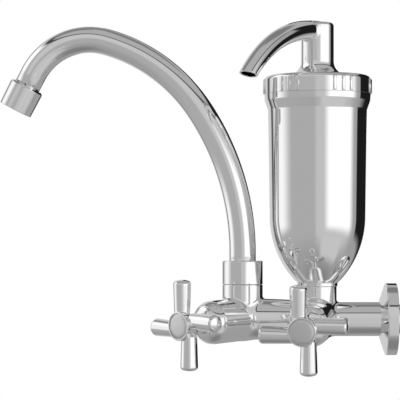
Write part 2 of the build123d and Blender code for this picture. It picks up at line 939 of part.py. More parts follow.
def cartridge_block():
    """Hollow carbon block."""
    low = cartridge_bottom + cartridge_end_height
    high = cartridge_top - cartridge_end_height
    return tube(block_radius, block_bore, low, high)


def cartridge_lower_cap():
    """Closed lower end of the cartridge with a raised rim."""
    top = cartridge_bottom + cartridge_end_height
    disc = rod(cartridge_radius, cartridge_bottom, top)
    rim_bore = block_radius + thread_fit
    return disc + tube(cartridge_radius, rim_bore, top, top + cartridge_rim_height)


def cartridge_upper_cap():
    """Upper end of the cartridge with its outlet nozzle."""
    bottom = cartridge_top - cartridge_end_height
    disc = rod(cartridge_radius, bottom, cartridge_top)
    rim_bottom = bottom - cartridge_rim_height
    rim = tube(cartridge_radius, block_radius + thread_fit, rim_bottom, bottom)
    nozzle = rod(nozzle_radius, bottom, nozzle_top)
    floor = nozzle_radius + nozzle_socket_gap - groove_slack - 2 * nozzle_seal_section
    groove_low = nozzle_seal_height - nozzle_groove_width / 2
    groove_high = groove_low + nozzle_groove_width
    groove = tube(nozzle_radius + overrun, floor, groove_low, groove_high)
    bore = rod(nozzle_bore, bottom - overrun, nozzle_top + overrun)
    return disc + rim + nozzle - groove - bore


def cartridge_seal():
    """Ring on the cartridge's nozzle."""
    centre = nozzle_radius + nozzle_socket_gap - groove_slack - nozzle_seal_section
    return ring_seal(centre, nozzle_seal_section, nozzle_seal_height)


def post_solid():
    """Post of the filter spout with its flared base, solid."""
    base = post_radius + post_flare
    ledge = post_bottom + post_base_height
    foot = Polyline((0, post_bottom), (base, post_bottom), (base, ledge))
    flare = RadiusArc((base, ledge), (post_radius, ledge + post_flare), post_flare)
    shoulder = post_top - post_dome - post_edge
    side = Line((post_radius, ledge + post_flare), (post_radius, shoulder))
    flat = post_radius - post_edge
    corner = RadiusArc((post_radius, shoulder), (flat, post_top - post_dome), -post_edge)
    middle, drop = crown_middle(flat, post_dome)
    dome = ThreePointArc((flat, post_top - post_dome), (middle, post_top - drop), (0, post_top))
    core = Line((0, post_top), (0, post_bottom))
    return revolve(Plane.XZ * make_face([foot, flare, side, corner, dome, core]), Axis.Z)


def nose_path(extra):
    """Centre line of the curved tube, lengthened past its mouth."""
    lead = Line((0, nose_height), (nose_straight, nose_height))
    bend = JernArc(lead @ 1, lead % 1, nose_bend_radius, -nose_bend_angle)
    tail = Line(bend @ 1, bend @ 1 + (bend % 1) * extra)
    return Plane.XZ * Wire([lead, bend, tail])


def nose_tube(root, tip):
    """Tapered bar along the centre line of the curved tube."""
    path = nose_path(2 * nose_tip_radius)
    start = Plane(path @ 0, z_dir=path % 0) * Circle(root)
    end = Plane(path @ 1, z_dir=path % 1) * Circle(tip)
    return sweep([start, end], path, multisection=True)


def mouth_cutter():
    """Block that trims the curved tube along its slanted mouth."""
    bend = radians(nose_bend_angle)
    tilt = radians(nose_mouth_tilt)
    reach = nose_straight + nose_bend_radius * sin(bend)
    height = nose_height - nose_bend_radius * (1 - cos(bend))
    face = Plane(origin=(reach, 0, height), x_dir=(0, 1, 0), z_dir=(sin(tilt), 0, -cos(tilt)))
    size = 8 * nose_tip_radius
    return face.location * Box(size, size, size, align=seated)


def filter_spout():
    """Post and curved tube in one, hollow from the spigot to the mouth."""
    spigot = rod(post_spigot_radius, boss_web_top + turning_gap, post_bottom + overrun)
    outside = post_solid() + spigot + nose_tube(nose_root_radius, nose_tip_radius)
    low = boss_web_top
    bore = rod(post_bore, low, nose_height) + Pos(0, 0, nose_height) * Sphere(post_bore)
    inside = nose_tube(nose_root_radius - nose_wall, nose_tip_radius - nose_wall)
    floor = post_well_radius - groove_slack - 2 * post_seal_section
    groove_top = post_seal_height + post_groove_width
    seal_groove = tube(post_spigot_radius + overrun, floor, post_seal_height, groove_top)
    ring_groove = ring_slot(post_spigot_radius, post_ring_height)
    return outside - mouth_cutter() - bore - inside - seal_groove - ring_groove


def filter_spout_seal():
    """Ring on the post's spigot."""
    centre = post_well_radius - seal_gap - post_seal_section
    return ring_seal(centre, post_seal_section, post_seal_height + post_groove_width / 2)


def filter_spout_ring():
    """Snap ring that keeps the post in the cap."""
    outer = post_well_radius + ring_out
    return split_ring(outer, post_spigot_radius - ring_in, post_ring_height, ring_thickness)


def valve_pieces(name, frame, cross_turn):
    """All loose pieces of one valve, in place on its branch."""
    turned_cross = frame * Rot(0, 0, cross_turn)
    return {
        name + "_headwork": frame * headwork(),
        name + "_headwork_seal": frame * headwork_seal(),
        name + "_seat_seal": frame * seat_seal(),
        name + "_fixed_disc": turned_cross * fixed_disc(),
        name + "_moving_disc": turned_cross * moving_disc(),
        name + "_spindle": turned_cross * spindle(),
        name + "_spindle_seal": frame * spindle_seal(),
        name + "_handle": turned_cross * cross_handle(),
        name + "_handle_screw": turned_cross * handle_screw(),
        name + "_handle_cap": turned_cross * handle_cap(),
    }


def spout_pieces():
    """The swan neck, its swivel and its aerator."""
    outlet = outlet_frame()
    return {
        "spout_tube": spout_frame * spout_tube(),
        "spout_collar": spout_axis * spout_collar(),
        "spout_lower_seal": spout_axis * spout_seal(spigot_seal_heights[0]),
        "spout_upper_seal": spout_axis * spout_seal(spigot_seal_heights[1]),
        "spout_snap_ring": spout_axis * spout_snap_ring(),
        "spout_slip_washer": spout_axis * spout_slip_washer(),
        "spout_bush": outlet * spout_bush(),
        "aerator_washer": outlet * aerator_washer(),
        "aerator_insert": outlet * aerator_insert(),
        "aerator_shell": outlet * aerator_shell(),
    }


def filter_pieces():
    """The bowl, its cartridge, its cap and the small swivel spout."""
    return {
        "filter_bowl": filter_axis * filter_bowl(),
        "bowl_seal": filter_axis * bowl_seal(),
        "cartridge_block": filter_axis * cartridge_block(),
        "cartridge_lower_cap": filter_axis * cartridge_lower_cap(),
        "cartridge_upper_cap": filter_axis * cartridge_upper_cap(),
        "cartridge_seal": filter_axis * cartridge_seal(),
        "filter_cap": filter_axis * filter_cap(),
        "cap_seal": filter_axis * cap_seal(),
        "filter_spout": nose_frame * filter_spout(),
        "filter_spout_seal": filter_axis * filter_spout_seal(),
        "filter_spout_ring": filter_axis * filter_spout_ring(),
    }


def all_pieces():
    """Every piece of the faucet by its name."""
    pieces = {"valve_body": valve_body(), "wall_flange": wall_flange()}
    pieces.update(valve_pieces("main", main_branch, main_cross_turn))
    pieces.update(valve_pieces("filter", filter_branch, filter_cross_turn))
    pieces.update(spout_pieces())
    pieces.update(filter_pieces())
    return pieces


os.makedirs("parts", exist_ok=True)
for node, shape in all_pieces().items():
    export_step(shape, "parts/" + node + ".step")
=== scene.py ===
"""Wall mounted kitchen faucet with a filter, dressed in polished chrome.

Sizes of the pieces are in millimetres and become metres when a mesh is made;
those of the studio are in metres. The origin lies on the wall, on the inlet
axis, with Z up. The faucet reaches away from the wall along -Y and its handles
stand on the +X side.
"""

import json
import logging
from dataclasses import dataclass
from math import acos, asin, atan2, cos, pi, radians, sin, sqrt, tan
from typing import Any, Callable, Optional, Sequence

import bmesh
import bpy
import numpy as np
from mathutils import Matrix, Vector

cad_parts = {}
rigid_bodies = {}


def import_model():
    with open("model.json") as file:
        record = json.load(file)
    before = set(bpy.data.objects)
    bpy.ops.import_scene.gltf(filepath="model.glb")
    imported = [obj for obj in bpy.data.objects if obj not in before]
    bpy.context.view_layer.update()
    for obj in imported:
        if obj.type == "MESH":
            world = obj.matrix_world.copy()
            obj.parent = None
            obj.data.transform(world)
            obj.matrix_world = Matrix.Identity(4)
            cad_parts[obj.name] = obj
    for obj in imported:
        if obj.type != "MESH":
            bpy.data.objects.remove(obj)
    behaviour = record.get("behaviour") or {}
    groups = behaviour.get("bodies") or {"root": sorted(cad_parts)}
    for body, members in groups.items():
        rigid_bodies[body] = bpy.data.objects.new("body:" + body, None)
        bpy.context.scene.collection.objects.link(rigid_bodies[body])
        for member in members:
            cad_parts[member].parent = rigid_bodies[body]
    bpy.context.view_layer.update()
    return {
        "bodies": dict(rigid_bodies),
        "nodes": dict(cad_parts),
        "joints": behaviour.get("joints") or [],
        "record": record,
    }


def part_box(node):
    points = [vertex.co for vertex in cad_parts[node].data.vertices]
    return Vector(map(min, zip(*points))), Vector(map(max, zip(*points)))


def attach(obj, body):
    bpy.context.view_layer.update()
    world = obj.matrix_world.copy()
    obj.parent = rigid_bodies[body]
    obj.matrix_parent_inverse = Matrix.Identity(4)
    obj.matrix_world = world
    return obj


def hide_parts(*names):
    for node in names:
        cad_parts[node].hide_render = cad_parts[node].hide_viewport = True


MM = 0.001
WELD = 1e-7
ON_AXIS = 1e-6
ON_CREST = 1e-3
ROUNDING_SHARE = 0.42
SUPPORT = 0.12
CREST_SHARE = 0.12
PHOTO_WIDTH = 400
WHITE = (1.0, 1.0, 1.0, 1.0)
CROSS_TURNS = {"main": -3.1, "filter": -1.0}
CAP_GREY = 0.76
SENSOR = 36.0
LOG = logging.getLogger("faucet")

Point = tuple[float, ...]
Array = np.ndarray
Field = Callable[[Array], Array]


# Shader trees


class Sock:
    """An output of a node that takes part in Python expressions."""

    def __init__(self, tree: "Tree", socket: Any) -> None:
        """Keeps the tree that new nodes are added to."""
        self.tree = tree
        self.socket = socket

    def output(self, name: str) -> "Sock":
        """Another output of the same node."""
        return Sock(self.tree, self.socket.node.outputs[name])

    def __add__(self, other: Any) -> "Sock":
        """Sum."""
        return self.tree.math("ADD", self, other)

    __radd__ = __add__

    def __sub__(self, other: Any) -> "Sock":
        """Difference."""
        return self.tree.math("SUBTRACT", self, other)

    def __rsub__(self, other: Any) -> "Sock":
        """Difference, reflected."""
        return self.tree.math("SUBTRACT", other, self)

    def __mul__(self, other: Any) -> "Sock":
        """Product."""
        return self.tree.math("MULTIPLY", self, other)

    __rmul__ = __mul__

    def __truediv__(self, other: Any) -> "Sock":
        """Quotient."""
        return self.tree.math("DIVIDE", self, other)

    def smooth(self, low: float, high: float) -> "Sock":
        """Soft step from 0 at low to 1 at high."""
        settings = {"interpolation_type": "SMOOTHSTEP"}
        limits = {"From Min": low, "From Max": high}
        return self.tree.node("ShaderNodeMapRange", settings, Value=self, **limits)


class Tree:
    """Adds nodes to one node tree."""

    def __init__(self, tree: Any) -> None:
        """Empties the tree."""
        self.tree = tree
        tree.nodes.clear()

    def node(self, kind: str, settings: Optional[dict] = None, *values: Any, **named: Any) -> Sock:
        """Adds any node.

        Args:
            kind: The node's type.
            settings: Properties, set before the sockets.
            values: Values or links for the inputs in order.
            named: Values or links for inputs by name.

        Returns:
            The first enabled output.
        """
        made = self.tree.nodes.new(kind)
        for name, value in (settings or {}).items():
            setattr(made, name, value)
        for key, value in list(enumerate(values)) + list(named.items()):
            self.feed(made.inputs[key], value)
        outputs = [socket for socket in made.outputs if socket.enabled]
        return Sock(self, outputs[0] if outputs else None)

    def math(self, operation: str, *values: Any) -> Sock:
        """Adds a Math node with these values or links."""
        return self.node("ShaderNodeMath", {"operation": operation}, *values)

    def vector(self, operation: str, *values: Any) -> Sock:
        """Adds a Vector Math node with these values or links."""
        return self.node("ShaderNodeVectorMath", {"operation": operation}, *values)

    def feed(self, target: Any, value: Any) -> None:
        """Links or sets one input."""
        if isinstance(value, Sock):
            self.tree.links.new(value.socket, target)
        else:
            target.default_value = value

    def end(self, socket: Sock, name: str, kind: str = "ShaderNodeOutputMaterial") -> None:
        """Ends the tree."""
        self.node(kind, None, **{name: socket})


class MaterialTree(Tree):
    """The tree of a new material."""

    def __init__(self, name: str) -> None:
        """Makes the material and reads the object coordinates."""
        self.material = bpy.data.materials.new(name)
        self.material.use_nodes = True
        super().__init__(self.material.node_tree)
        self.place = self.node("ShaderNodeTexCoord").output("Object")

    def noise(self, scale: float, detail: float) -> Sock:
        """Noise of a scale and detail, fixed to the object."""
        return self.node("ShaderNodeTexNoise", Vector=self.place, Scale=scale, Detail=detail)

    def mix(self, share: Sock, low: Point, high: Point) -> Sock:
        """Colour between two others."""
        colours = {"Factor": share, "A": (*low, 1.0), "B": (*high, 1.0)}
        return self.node("ShaderNodeMix", {"data_type": "RGBA"}, **colours)

    def surface(self, shade: Sock, metallic: float, rough: Sock, bump: Sock) -> None:
        """Ends the tree in a Principled shader."""
        inputs = {"Base Color": shade, "Metallic": metallic, "Roughness": rough, "Normal": bump}
        self.end(self.node("ShaderNodeBsdfPrincipled", **inputs), "Surface")


@dataclass(frozen=True)
class Chrome:
    """Chrome plating with a very fine unevenness.

    Attributes:
        name: The material's name.
        grey: Linear grey of the metal.
        ripple: Strength of the slow unevenness under the plating.
        turned: Whether the face shows the rings of its turning.
        centre: Middle of the turned rings, in metres.
        axis: Direction that the turned rings face.
        roughness: Its lowest and highest roughness.
        turned_roughness: What the turning adds to it.
        slow_scale: Noise scale of the unevenness under the plating.
        film_scale: Noise scale of the plating's own film.
        film_rough: Span of the film's noise that roughens the metal.
        film_clear: Span over which it darkens the metal less and less.
        film_shade: How much the film darkens the metal.
        under_film: Grey that the film darkens it towards.
        blue_tint: Blue of the metal over its red and green.
        ring_rate: Radians of the ring wave in a metre.
    """

    name: str
    grey: float = 0.9
    ripple: float = 0.012
    turned: bool = False
    centre: Point = (0.0, 0.0, 0.0)
    axis: Point = (1.0, 0.0, 0.0)
    roughness: Point = (0.025, 0.06)
    turned_roughness: float = 0.4
    slow_scale: float = 38.0
    film_scale: float = 420.0
    film_rough: Point = (0.42, 0.75)
    film_clear: Point = (0.3, 0.62)
    film_shade: float = 0.02
    under_film: float = 0.5
    blue_tint: float = 1.004
    ring_rate: float = 9000.0

    def build(self) -> Any:
        """The material."""
        tree = MaterialTree(self.name)
        slow = tree.noise(self.slow_scale, 2.0)
        film = tree.noise(self.film_scale, 5.0)
        low, high = self.roughness
        rough = film.smooth(*self.film_rough) * (high - low) + low
        share = 1.0 - (1.0 - film.smooth(*self.film_clear)) * self.film_shade
        metal = (self.grey, self.grey, self.grey * self.blue_tint)
        shade = tree.mix(share, (self.under_film,) * 3, metal)
        bump = tree.node("ShaderNodeBump", Strength=self.ripple, Distance=0.002, Height=slow)
        if self.turned:
            bump = self.rings(tree, bump)
            rough = rough + self.turned_roughness
        tree.surface(shade, 1.0, rough, bump)
        tree.material.diffuse_color = (self.grey, self.grey, self.grey, 1.0)
        return tree.material

    def rings(self, tree: MaterialTree, below: Sock) -> Sock:
        """Fine rings left by turning the face, on the normal below them."""
        offset = tree.vector("SUBTRACT", tree.place, self.centre)
        across = tree.vector("CROSS_PRODUCT", offset, self.axis)
        radius = tree.vector("LENGTH", across).output("Value")
        wave = tree.math("SINE", radius * self.ring_rate)
        depth = {"Strength": 0.05, "Distance": 0.0002}
        return tree.node("ShaderNodeBump", None, Height=wave, Normal=below, **depth)


@dataclass(frozen=True)
class Solid:
    """A plain solid material with grain in colour, roughness and height.

    Attributes:
        name: The material's name.
        color: Linear colour.
        roughness: Middle of its roughness.
        metallic: 1 for bare metal.
        grain: Scale of its grain.
        contrast: How much the grain changes colour and roughness.
        relief: Height of the grain, in metres.
    """

    name: str
    color: Point
    roughness: float = 0.5
    metallic: float = 0.0
    grain: float = 900.0
    contrast: float = 0.15
    relief: float = 0.00003

    def build(self) -> Any:
        """The material."""
        tree = MaterialTree(self.name)
        noise = tree.noise(self.grain, 6.0)
        mask = noise.smooth(0.3, 0.7)
        dark = tuple(c * (1.0 - self.contrast) for c in self.color)
        shade = tree.mix(mask, dark, self.color)
        rough = mask * (0.3 * self.contrast) + (self.roughness - 0.15 * self.contrast)
        bump = tree.node("ShaderNodeBump", Strength=0.6, Distance=self.relief, Height=noise)
        tree.surface(shade, self.metallic, rough, bump)
        tree.material.diffuse_color = (*self.color, 1.0)
        return tree.material


# Outlines and lathed meshes


def arc(centre: Point, radius: float, start: float, end: float, steps: int) -> list[Point]:
    """Points along an arc between two angles in degrees, both ends included."""
    angles = [radians(start + (end - start) * k / steps) for k in range(steps + 1)]
    return [(centre[0] + radius * cos(a), centre[1] + radius * sin(a)) for a in angles]


def rounded(corners: Sequence[Point], steps: int = 6) -> list[Point]:
    """Closed outline with its corners rounded, and a point close to each end of a rounding.

    Args:
        corners: (radius, height) or (radius, height, rounding).
        steps: Chords in each rounding.

    Returns:
        The outline's points.
    """
    points: list[Point] = []
    count = len(corners)
    for k, corner in enumerate(corners):
        here = Vector(corner[:2])
        rounding = corner[2] if len(corner) > 2 else 0.0
        back = Vector(corners[k - 1][:2]) - here
        ahead = Vector(corners[(k + 1) % count][:2]) - here
        if rounding <= 0:
            points.append(tuple(here))
            continue
        room = ROUNDING_SHARE * min(back.length, ahead.length)
        back.normalize()
        ahead.normalize()
        half = 0.5 * acos(max(-1.0, min(1.0, back.dot(ahead))))
        cut = min(rounding / tan(half), room)
        radius = cut * tan(half)
        centre = here + (back + ahead).normalized() * (radius / sin(half))
        first = here + back * cut - centre
        last = here + ahead * cut - centre
        turn = atan2(first.x * last.y - first.y * last.x, first.dot(last))
        begin = atan2(first.y, first.x)
        beside = min(cut + SUPPORT, 1.15 * cut + 0.05)
        points.append(tuple(here + back * beside))
        for step in range(steps + 1):
            angle = begin + turn * step / steps
            points.append((centre.x + radius * cos(angle), centre.y + radius * sin(angle)))
        points.append(tuple(here + ahead * beside))
    return points


@dataclass
class Shape:
    """Vertices in millimetres and faces of one mesh under construction."""

    verts: Array
    faces: list[tuple[int, ...]]
    normals: Optional[Array] = None

    def moved(self, matrix: Matrix) -> "Shape":
        """A copy carried by a matrix whose place is in millimetres."""
        turn = np.array(matrix.to_3x3())
        verts = self.verts @ turn.T + np.array(matrix.translation)
        normals = None if self.normals is None else self.normals @ turn.T
        return Shape(verts, self.faces, normals)


def ring_faces(ids: Array) -> list[tuple[int, ...]]:
    """Faces between rings of points and back to the first; a pole repeats one point."""
    faces = []
    for row, below in zip(ids.tolist(), np.roll(ids, -1, axis=0).tolist()):
        ends = zip(row, row[1:] + row[:1], below[1:] + below[:1], below)
        quads = [tuple(dict.fromkeys(quad)) for quad in ends]
        faces += [quad for quad in quads if len(quad) > 2]
    return faces


def lathe(
    outline: Sequence[Point],
    segments: int = 160,
    ripple: Optional[Callable[[Array, Array, Array], Array]] = None,
) -> Shape:
    """Turns a closed outline about Z.

    Args:
        outline: (radius, height) points; a point on the axis becomes a pole.
        segments: Number of steps round.
        ripple: Adds to the radius, from height, angle and radius.

    Returns:
        The closed surface.
    """
    points = np.array([p[:2] for p in outline], dtype=float)
    angle = np.linspace(0.0, 2 * pi, segments, endpoint=False)
    radius = np.repeat(points[:, :1], segments, axis=1)
    height = np.repeat(points[:, 1:], segments, axis=1)
    if ripple is not None:
        radius = radius + ripple(height, angle[None, :], radius)
    pole = points[:, 0] < ON_AXIS
    verts: list[Array] = []
    ids = np.zeros((len(points), segments), dtype=int)
    total = 0
    for row in range(len(points)):
        if pole[row]:
            verts.append(np.array([[0.0, 0.0, points[row, 1]]]))
            ids[row] = total
            total += 1
            continue
        ring = np.stack([radius[row] * np.cos(angle), radius[row] * np.sin(angle), height[row]], 1)
        verts.append(ring)
        ids[row] = total + np.arange(segments)
        total += segments
    return Shape(np.concatenate(verts), ring_faces(ids))


def spun(corners: Sequence[Point], segments: int = 160, steps: int = 6) -> Shape:
    """Turns a closed outline about Z, with its corners rounded."""
    return lathe(rounded(corners, steps), segments)


def dome_ball(radius: float, rise: float) -> float:
    """Radius of the ball that a dome of this radius and rise belongs to."""
    return (radius**2 + rise**2) / (2 * rise)


# Implicit solids, measured in millimetres, negative inside


def blend_union(a: Array, b: Array, radius: float) -> Array:
    """Union of two distances with a fillet of the given radius."""
    inner = np.hypot(np.maximum(radius - a, 0), np.maximum(radius - b, 0))
    return np.maximum(radius, np.minimum(a, b)) - inner


def blend_common(a: Array, b: Array, radius: float) -> Array:
    """Intersection with a rounded edge of the given radius."""
    return -blend_union(-a, -b, radius)


def blend_cut(a: Array, b: Array, radius: float) -> Array:
    """The first solid without the second, with a rounded edge."""
    return blend_common(a, -b, radius)


def bar(p: Array, radius: float, low: float, high: float, rounding: float = 0.0) -> Array:
    """Round bar along Z between two heights, with rounded ends."""
    side = np.hypot(p[:, 0], p[:, 1]) - radius
    ends = np.maximum(low - p[:, 2], p[:, 2] - high)
    if rounding <= 0:
        return np.maximum(side, ends)
    return blend_common(side, ends, rounding)


def cone(p: Array, low: Point, high: Point, rounding: float) -> Array:
    """Round cone along Z between two (radius, height) pairs."""
    slope = (high[0] - low[0]) / (high[1] - low[1])
    side = np.hypot(p[:, 0], p[:, 1]) - low[0] - slope * (p[:, 2] - low[1])
    ends = np.maximum(low[1] - p[:, 2], p[:, 2] - high[1])
    return blend_common(side / sqrt(1 + slope * slope), ends, rounding)


EDGES = [
    ((0, 0, 0), 0), ((0, 1, 0), 0), ((0, 0, 1), 0), ((0, 1, 1), 0),
    ((0, 0, 0), 1), ((1, 0, 0), 1), ((0, 0, 1), 1), ((1, 0, 1), 1),
    ((0, 0, 0), 2), ((1, 0, 0), 2), ((0, 1, 0), 2), ((1, 1, 0), 2),
]  # fmt: skip


@dataclass(frozen=True)
class Polygoniser:
    """Turns an implicit solid into a mesh that lies exactly on its surface.

    Attributes:
        low: Lowest corner of the box.
        high: Highest corner of the box.
        step: Size of a cell.
        reach: Distance over which the slope is measured.
        passes: Number of moves onto the surface.
        flattest: Least squared slope that a move reckons with.
    """

    low: Point
    high: Point
    step: float
    reach: float = 0.02
    passes: int = 4
    flattest: float = 0.05

    def gradient(self, solid: Field, p: Array) -> Array:
        """Slope of the field at each point."""
        shifts = np.eye(3) * self.reach
        columns = [(solid(p + s) - solid(p - s)) / (2 * self.reach) for s in shifts]
        return np.stack(columns, 1)

    def mesh(self, solid: Field) -> Shape:
        """Closed quad mesh by surface nets, moved onto the surface, with exact normals."""
        axes = [np.arange(lo, hi + self.step, self.step) for lo, hi in zip(self.low, self.high)]
        counts = [len(a) for a in axes]
        value = np.empty(counts)
        flat_y, flat_z = np.meshgrid(axes[1], axes[2], indexing="ij")
        for i, x in enumerate(axes[0]):
            sheet = np.stack([np.full(flat_y.size, x), flat_y.ravel(), flat_z.ravel()], 1)
            value[i] = solid(sheet).reshape(flat_y.shape)
        cells = [c - 1 for c in counts]
        total = np.zeros(cells + [3])
        hits = np.zeros(cells)
        for corner, axis in EDGES:
            other = list(corner)
            other[axis] += 1
            a = value[tuple(slice(o, o + n) for o, n in zip(corner, cells))]
            b = value[tuple(slice(o, o + n) for o, n in zip(other, cells))]
            cross = (a < 0) != (b < 0)
            share = np.where(cross, a / np.where(cross, a - b, 1.0), 0.0)
            for k in range(3):
                total[..., k] += cross * (corner[k] + (share if k == axis else 0.0))
            hits += cross
        index = -np.ones(cells, dtype=int)
        active = hits > 0
        index[active] = np.arange(active.sum())
        local = total[active] / hits[active][:, None]
        verts = (np.argwhere(active) + local) * self.step + np.array(self.low)
        for _ in range(self.passes):
            slope = self.gradient(solid, verts)
            size = np.maximum((slope**2).sum(1), self.flattest)
            move = slope * (solid(verts) / size)[:, None]
            verts = verts - np.clip(move, -self.step, self.step)
        slope = self.gradient(solid, verts)
        normals = slope / np.maximum(np.linalg.norm(slope, axis=1), 1e-9)[:, None]
        return Shape(verts, self.quads(value < 0, index), normals)

    def quads(self, inside: Array, index: Array) -> list[tuple[int, ...]]:
        """Faces across each grid edge whose ends differ.

        Args:
            inside: True at grid points inside the solid.
            index: Vertex number of each cell.

        Returns:
            The faces, all facing outwards.
        """
        faces: list[Array] = []
        for axis in range(3):
            u, v = (axis + 1) % 3, (axis + 2) % 3
            a = np.take(inside, range(inside.shape[axis] - 1), axis)
            b = np.take(inside, range(1, inside.shape[axis]), axis)
            place = np.argwhere(a != b)
            keep = (place[:, u] > 0) & (place[:, v] > 0)
            keep &= (place[:, u] < index.shape[u]) & (place[:, v] < index.shape[v])
            place = place[keep]
            corners = []
            for du, dv in ((1, 1), (0, 1), (0, 0), (1, 0)):
                cell = place.copy()
                cell[:, u] -= du
                cell[:, v] -= dv
                corners.append(index[cell[:, 0], cell[:, 1], cell[:, 2]])
            quad = np.stack(corners, 1)
            outward = a[place[:, 0], place[:, 1], place[:, 2]]
            quad[~outward] = quad[~outward][:, ::-1]
            faces.append(quad)
        return [tuple(int(i) for i in quad) for quad in np.concatenate(faces)]


# Objects


def linked(name: str, data: Any) -> Any:
    """A new object with this data, in the scene."""
    made = bpy.data.objects.new(name, data)
    bpy.context.scene.collection.objects.link(made)
    return made


def formed(mesh: Any, form: Callable[[Any], Any]) -> Any:
    """A mesh after a function has worked on its bmesh."""
    work = bmesh.new()
    work.from_mesh(mesh)
    form(work)
    work.to_mesh(mesh)
    work.free()
    return mesh


def turned_out(work: Any) -> None:
    """Welds a surface and turns its faces outwards."""
    bmesh.ops.remove_doubles(work, verts=work.verts, dist=WELD)
    bmesh.ops.recalc_face_normals(work, faces=work.faces)


def new_object(name: str, shape: Shape, material: Any) -> Any:
    """Makes one smooth object in metres.

    Args:
        name: Its name.
        shape: Its mesh in millimetres. Where it has no normals of its own, its
            faces are turned outwards here.
        material: Its material.

    Returns:
        The object, linked to the scene.
    """
    mesh = bpy.data.meshes.new(name)
    mesh.from_pydata((shape.verts * MM).tolist(), [], shape.faces)
    if shape.normals is None:
        formed(mesh, turned_out)
    mesh.shade_smooth()
    if shape.normals is not None:
        mesh.normals_split_custom_set_from_vertices(shape.normals.tolist())
    mesh.materials.append(material)
    return linked(name, mesh)


def settle(made: Any, body: str, node: str) -> None:
    """Puts a finished piece on its body.

    Args:
        made: The object.
        body: The body that it moves with.
        node: The node that it stands for.
    """
    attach(made, body)
    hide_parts(node)
    LOG.info("%s rides on %s", made.name, body)


@dataclass(frozen=True)
class Workshop:
    """What every piece is made from.

    Attributes:
        frame: The loaded frame.
        materials: The finishes by slot.
    """

    frame: dict
    materials: dict

    def joint(self, name: str) -> dict:
        """One joint of the frame."""
        return joint_named(self.frame, name)

    def upright(self, joint: str) -> Matrix:
        """Frame of an upright joint's axis, in millimetres."""
        return Matrix.Translation((0.0, self.joint(joint)["pos_m"][1] / MM, 0.0))

    def piece(self, name: str, shape: Shape, body: str, slot: str, node: str) -> None:
        """Makes a piece in its slot's finish and puts it on its body."""
        settle(new_object(name, shape, self.materials[slot]), body, node)

    def dress_nodes(self) -> None:
        """Gives each CAD mesh its finish; the hidden pieces keep these meshes."""
        for entry in self.frame["record"]["subparts"]:
            node = self.frame["nodes"].get(entry["node"])
            if node is None:
                continue
            node.data.materials.clear()
            node.data.materials.append(self.materials[entry["material_slot"]])
            LOG.info("%s is dressed as %s", entry["node"], entry["material_slot"])


def along_wall_axis() -> Matrix:
    """Frame whose Z runs out of the wall, from its origin on the wall."""
    return Matrix(((1, 0, 0, 0), (0, 0, -1, 0), (0, 1, 0, 0), (0, 0, 0, 1)))


def joint_named(frame: dict, name: str) -> dict:
    """One joint of the frame."""
    return next(joint for joint in frame["joints"] if joint["name"] == name)


def placed(across: Vector, up: Vector, out: Vector, place: Vector) -> Matrix:
    """Frame with these axes at a place."""
    matrix = Matrix((across, up, out)).transposed().to_4x4()
    matrix.translation = place
    return matrix


def branch_matrix(joint: dict) -> Matrix:
    """Frame of a valve branch in millimetres: Z out along the branch, X level."""
    out = Vector(joint["axis"]).normalized()
    across = Vector((0, 0, 1)).cross(out).normalized()
    return placed(across, out.cross(across), out, Vector(joint["pos_m"]) / MM)


def screw_thread(pitch: float, depth: float, low: float, high: float, outer: float) -> Callable:
    """Ripple of a right-hand thread for a lathe.

    Args:
        pitch: Rise in one turn.
        depth: Depth of the thread.
        low: Start of the thread.
        high: End of the thread.
        outer: Crest radius; only points near it take the thread.

    Returns:
        The ripple.
    """

    def ripple(height: Array, angle: Array, radius: Array) -> Array:
        """Change of radius at each point."""
        phase = height / pitch - angle / (2 * pi)
        tooth = np.abs(2 * (phase - np.floor(phase)) - 1)
        tooth = np.clip((tooth - CREST_SHARE) / (1 - 2 * CREST_SHARE), 0, 1)
        fade = np.clip((height - low) / pitch, 0, 1) * np.clip((high - height) / pitch, 0, 1)
        on = (height > low) & (height < high) & (np.abs(radius - outer) < ON_CREST)
        return -depth * tooth * np.where(on, fade, 0.0)

    return ripple


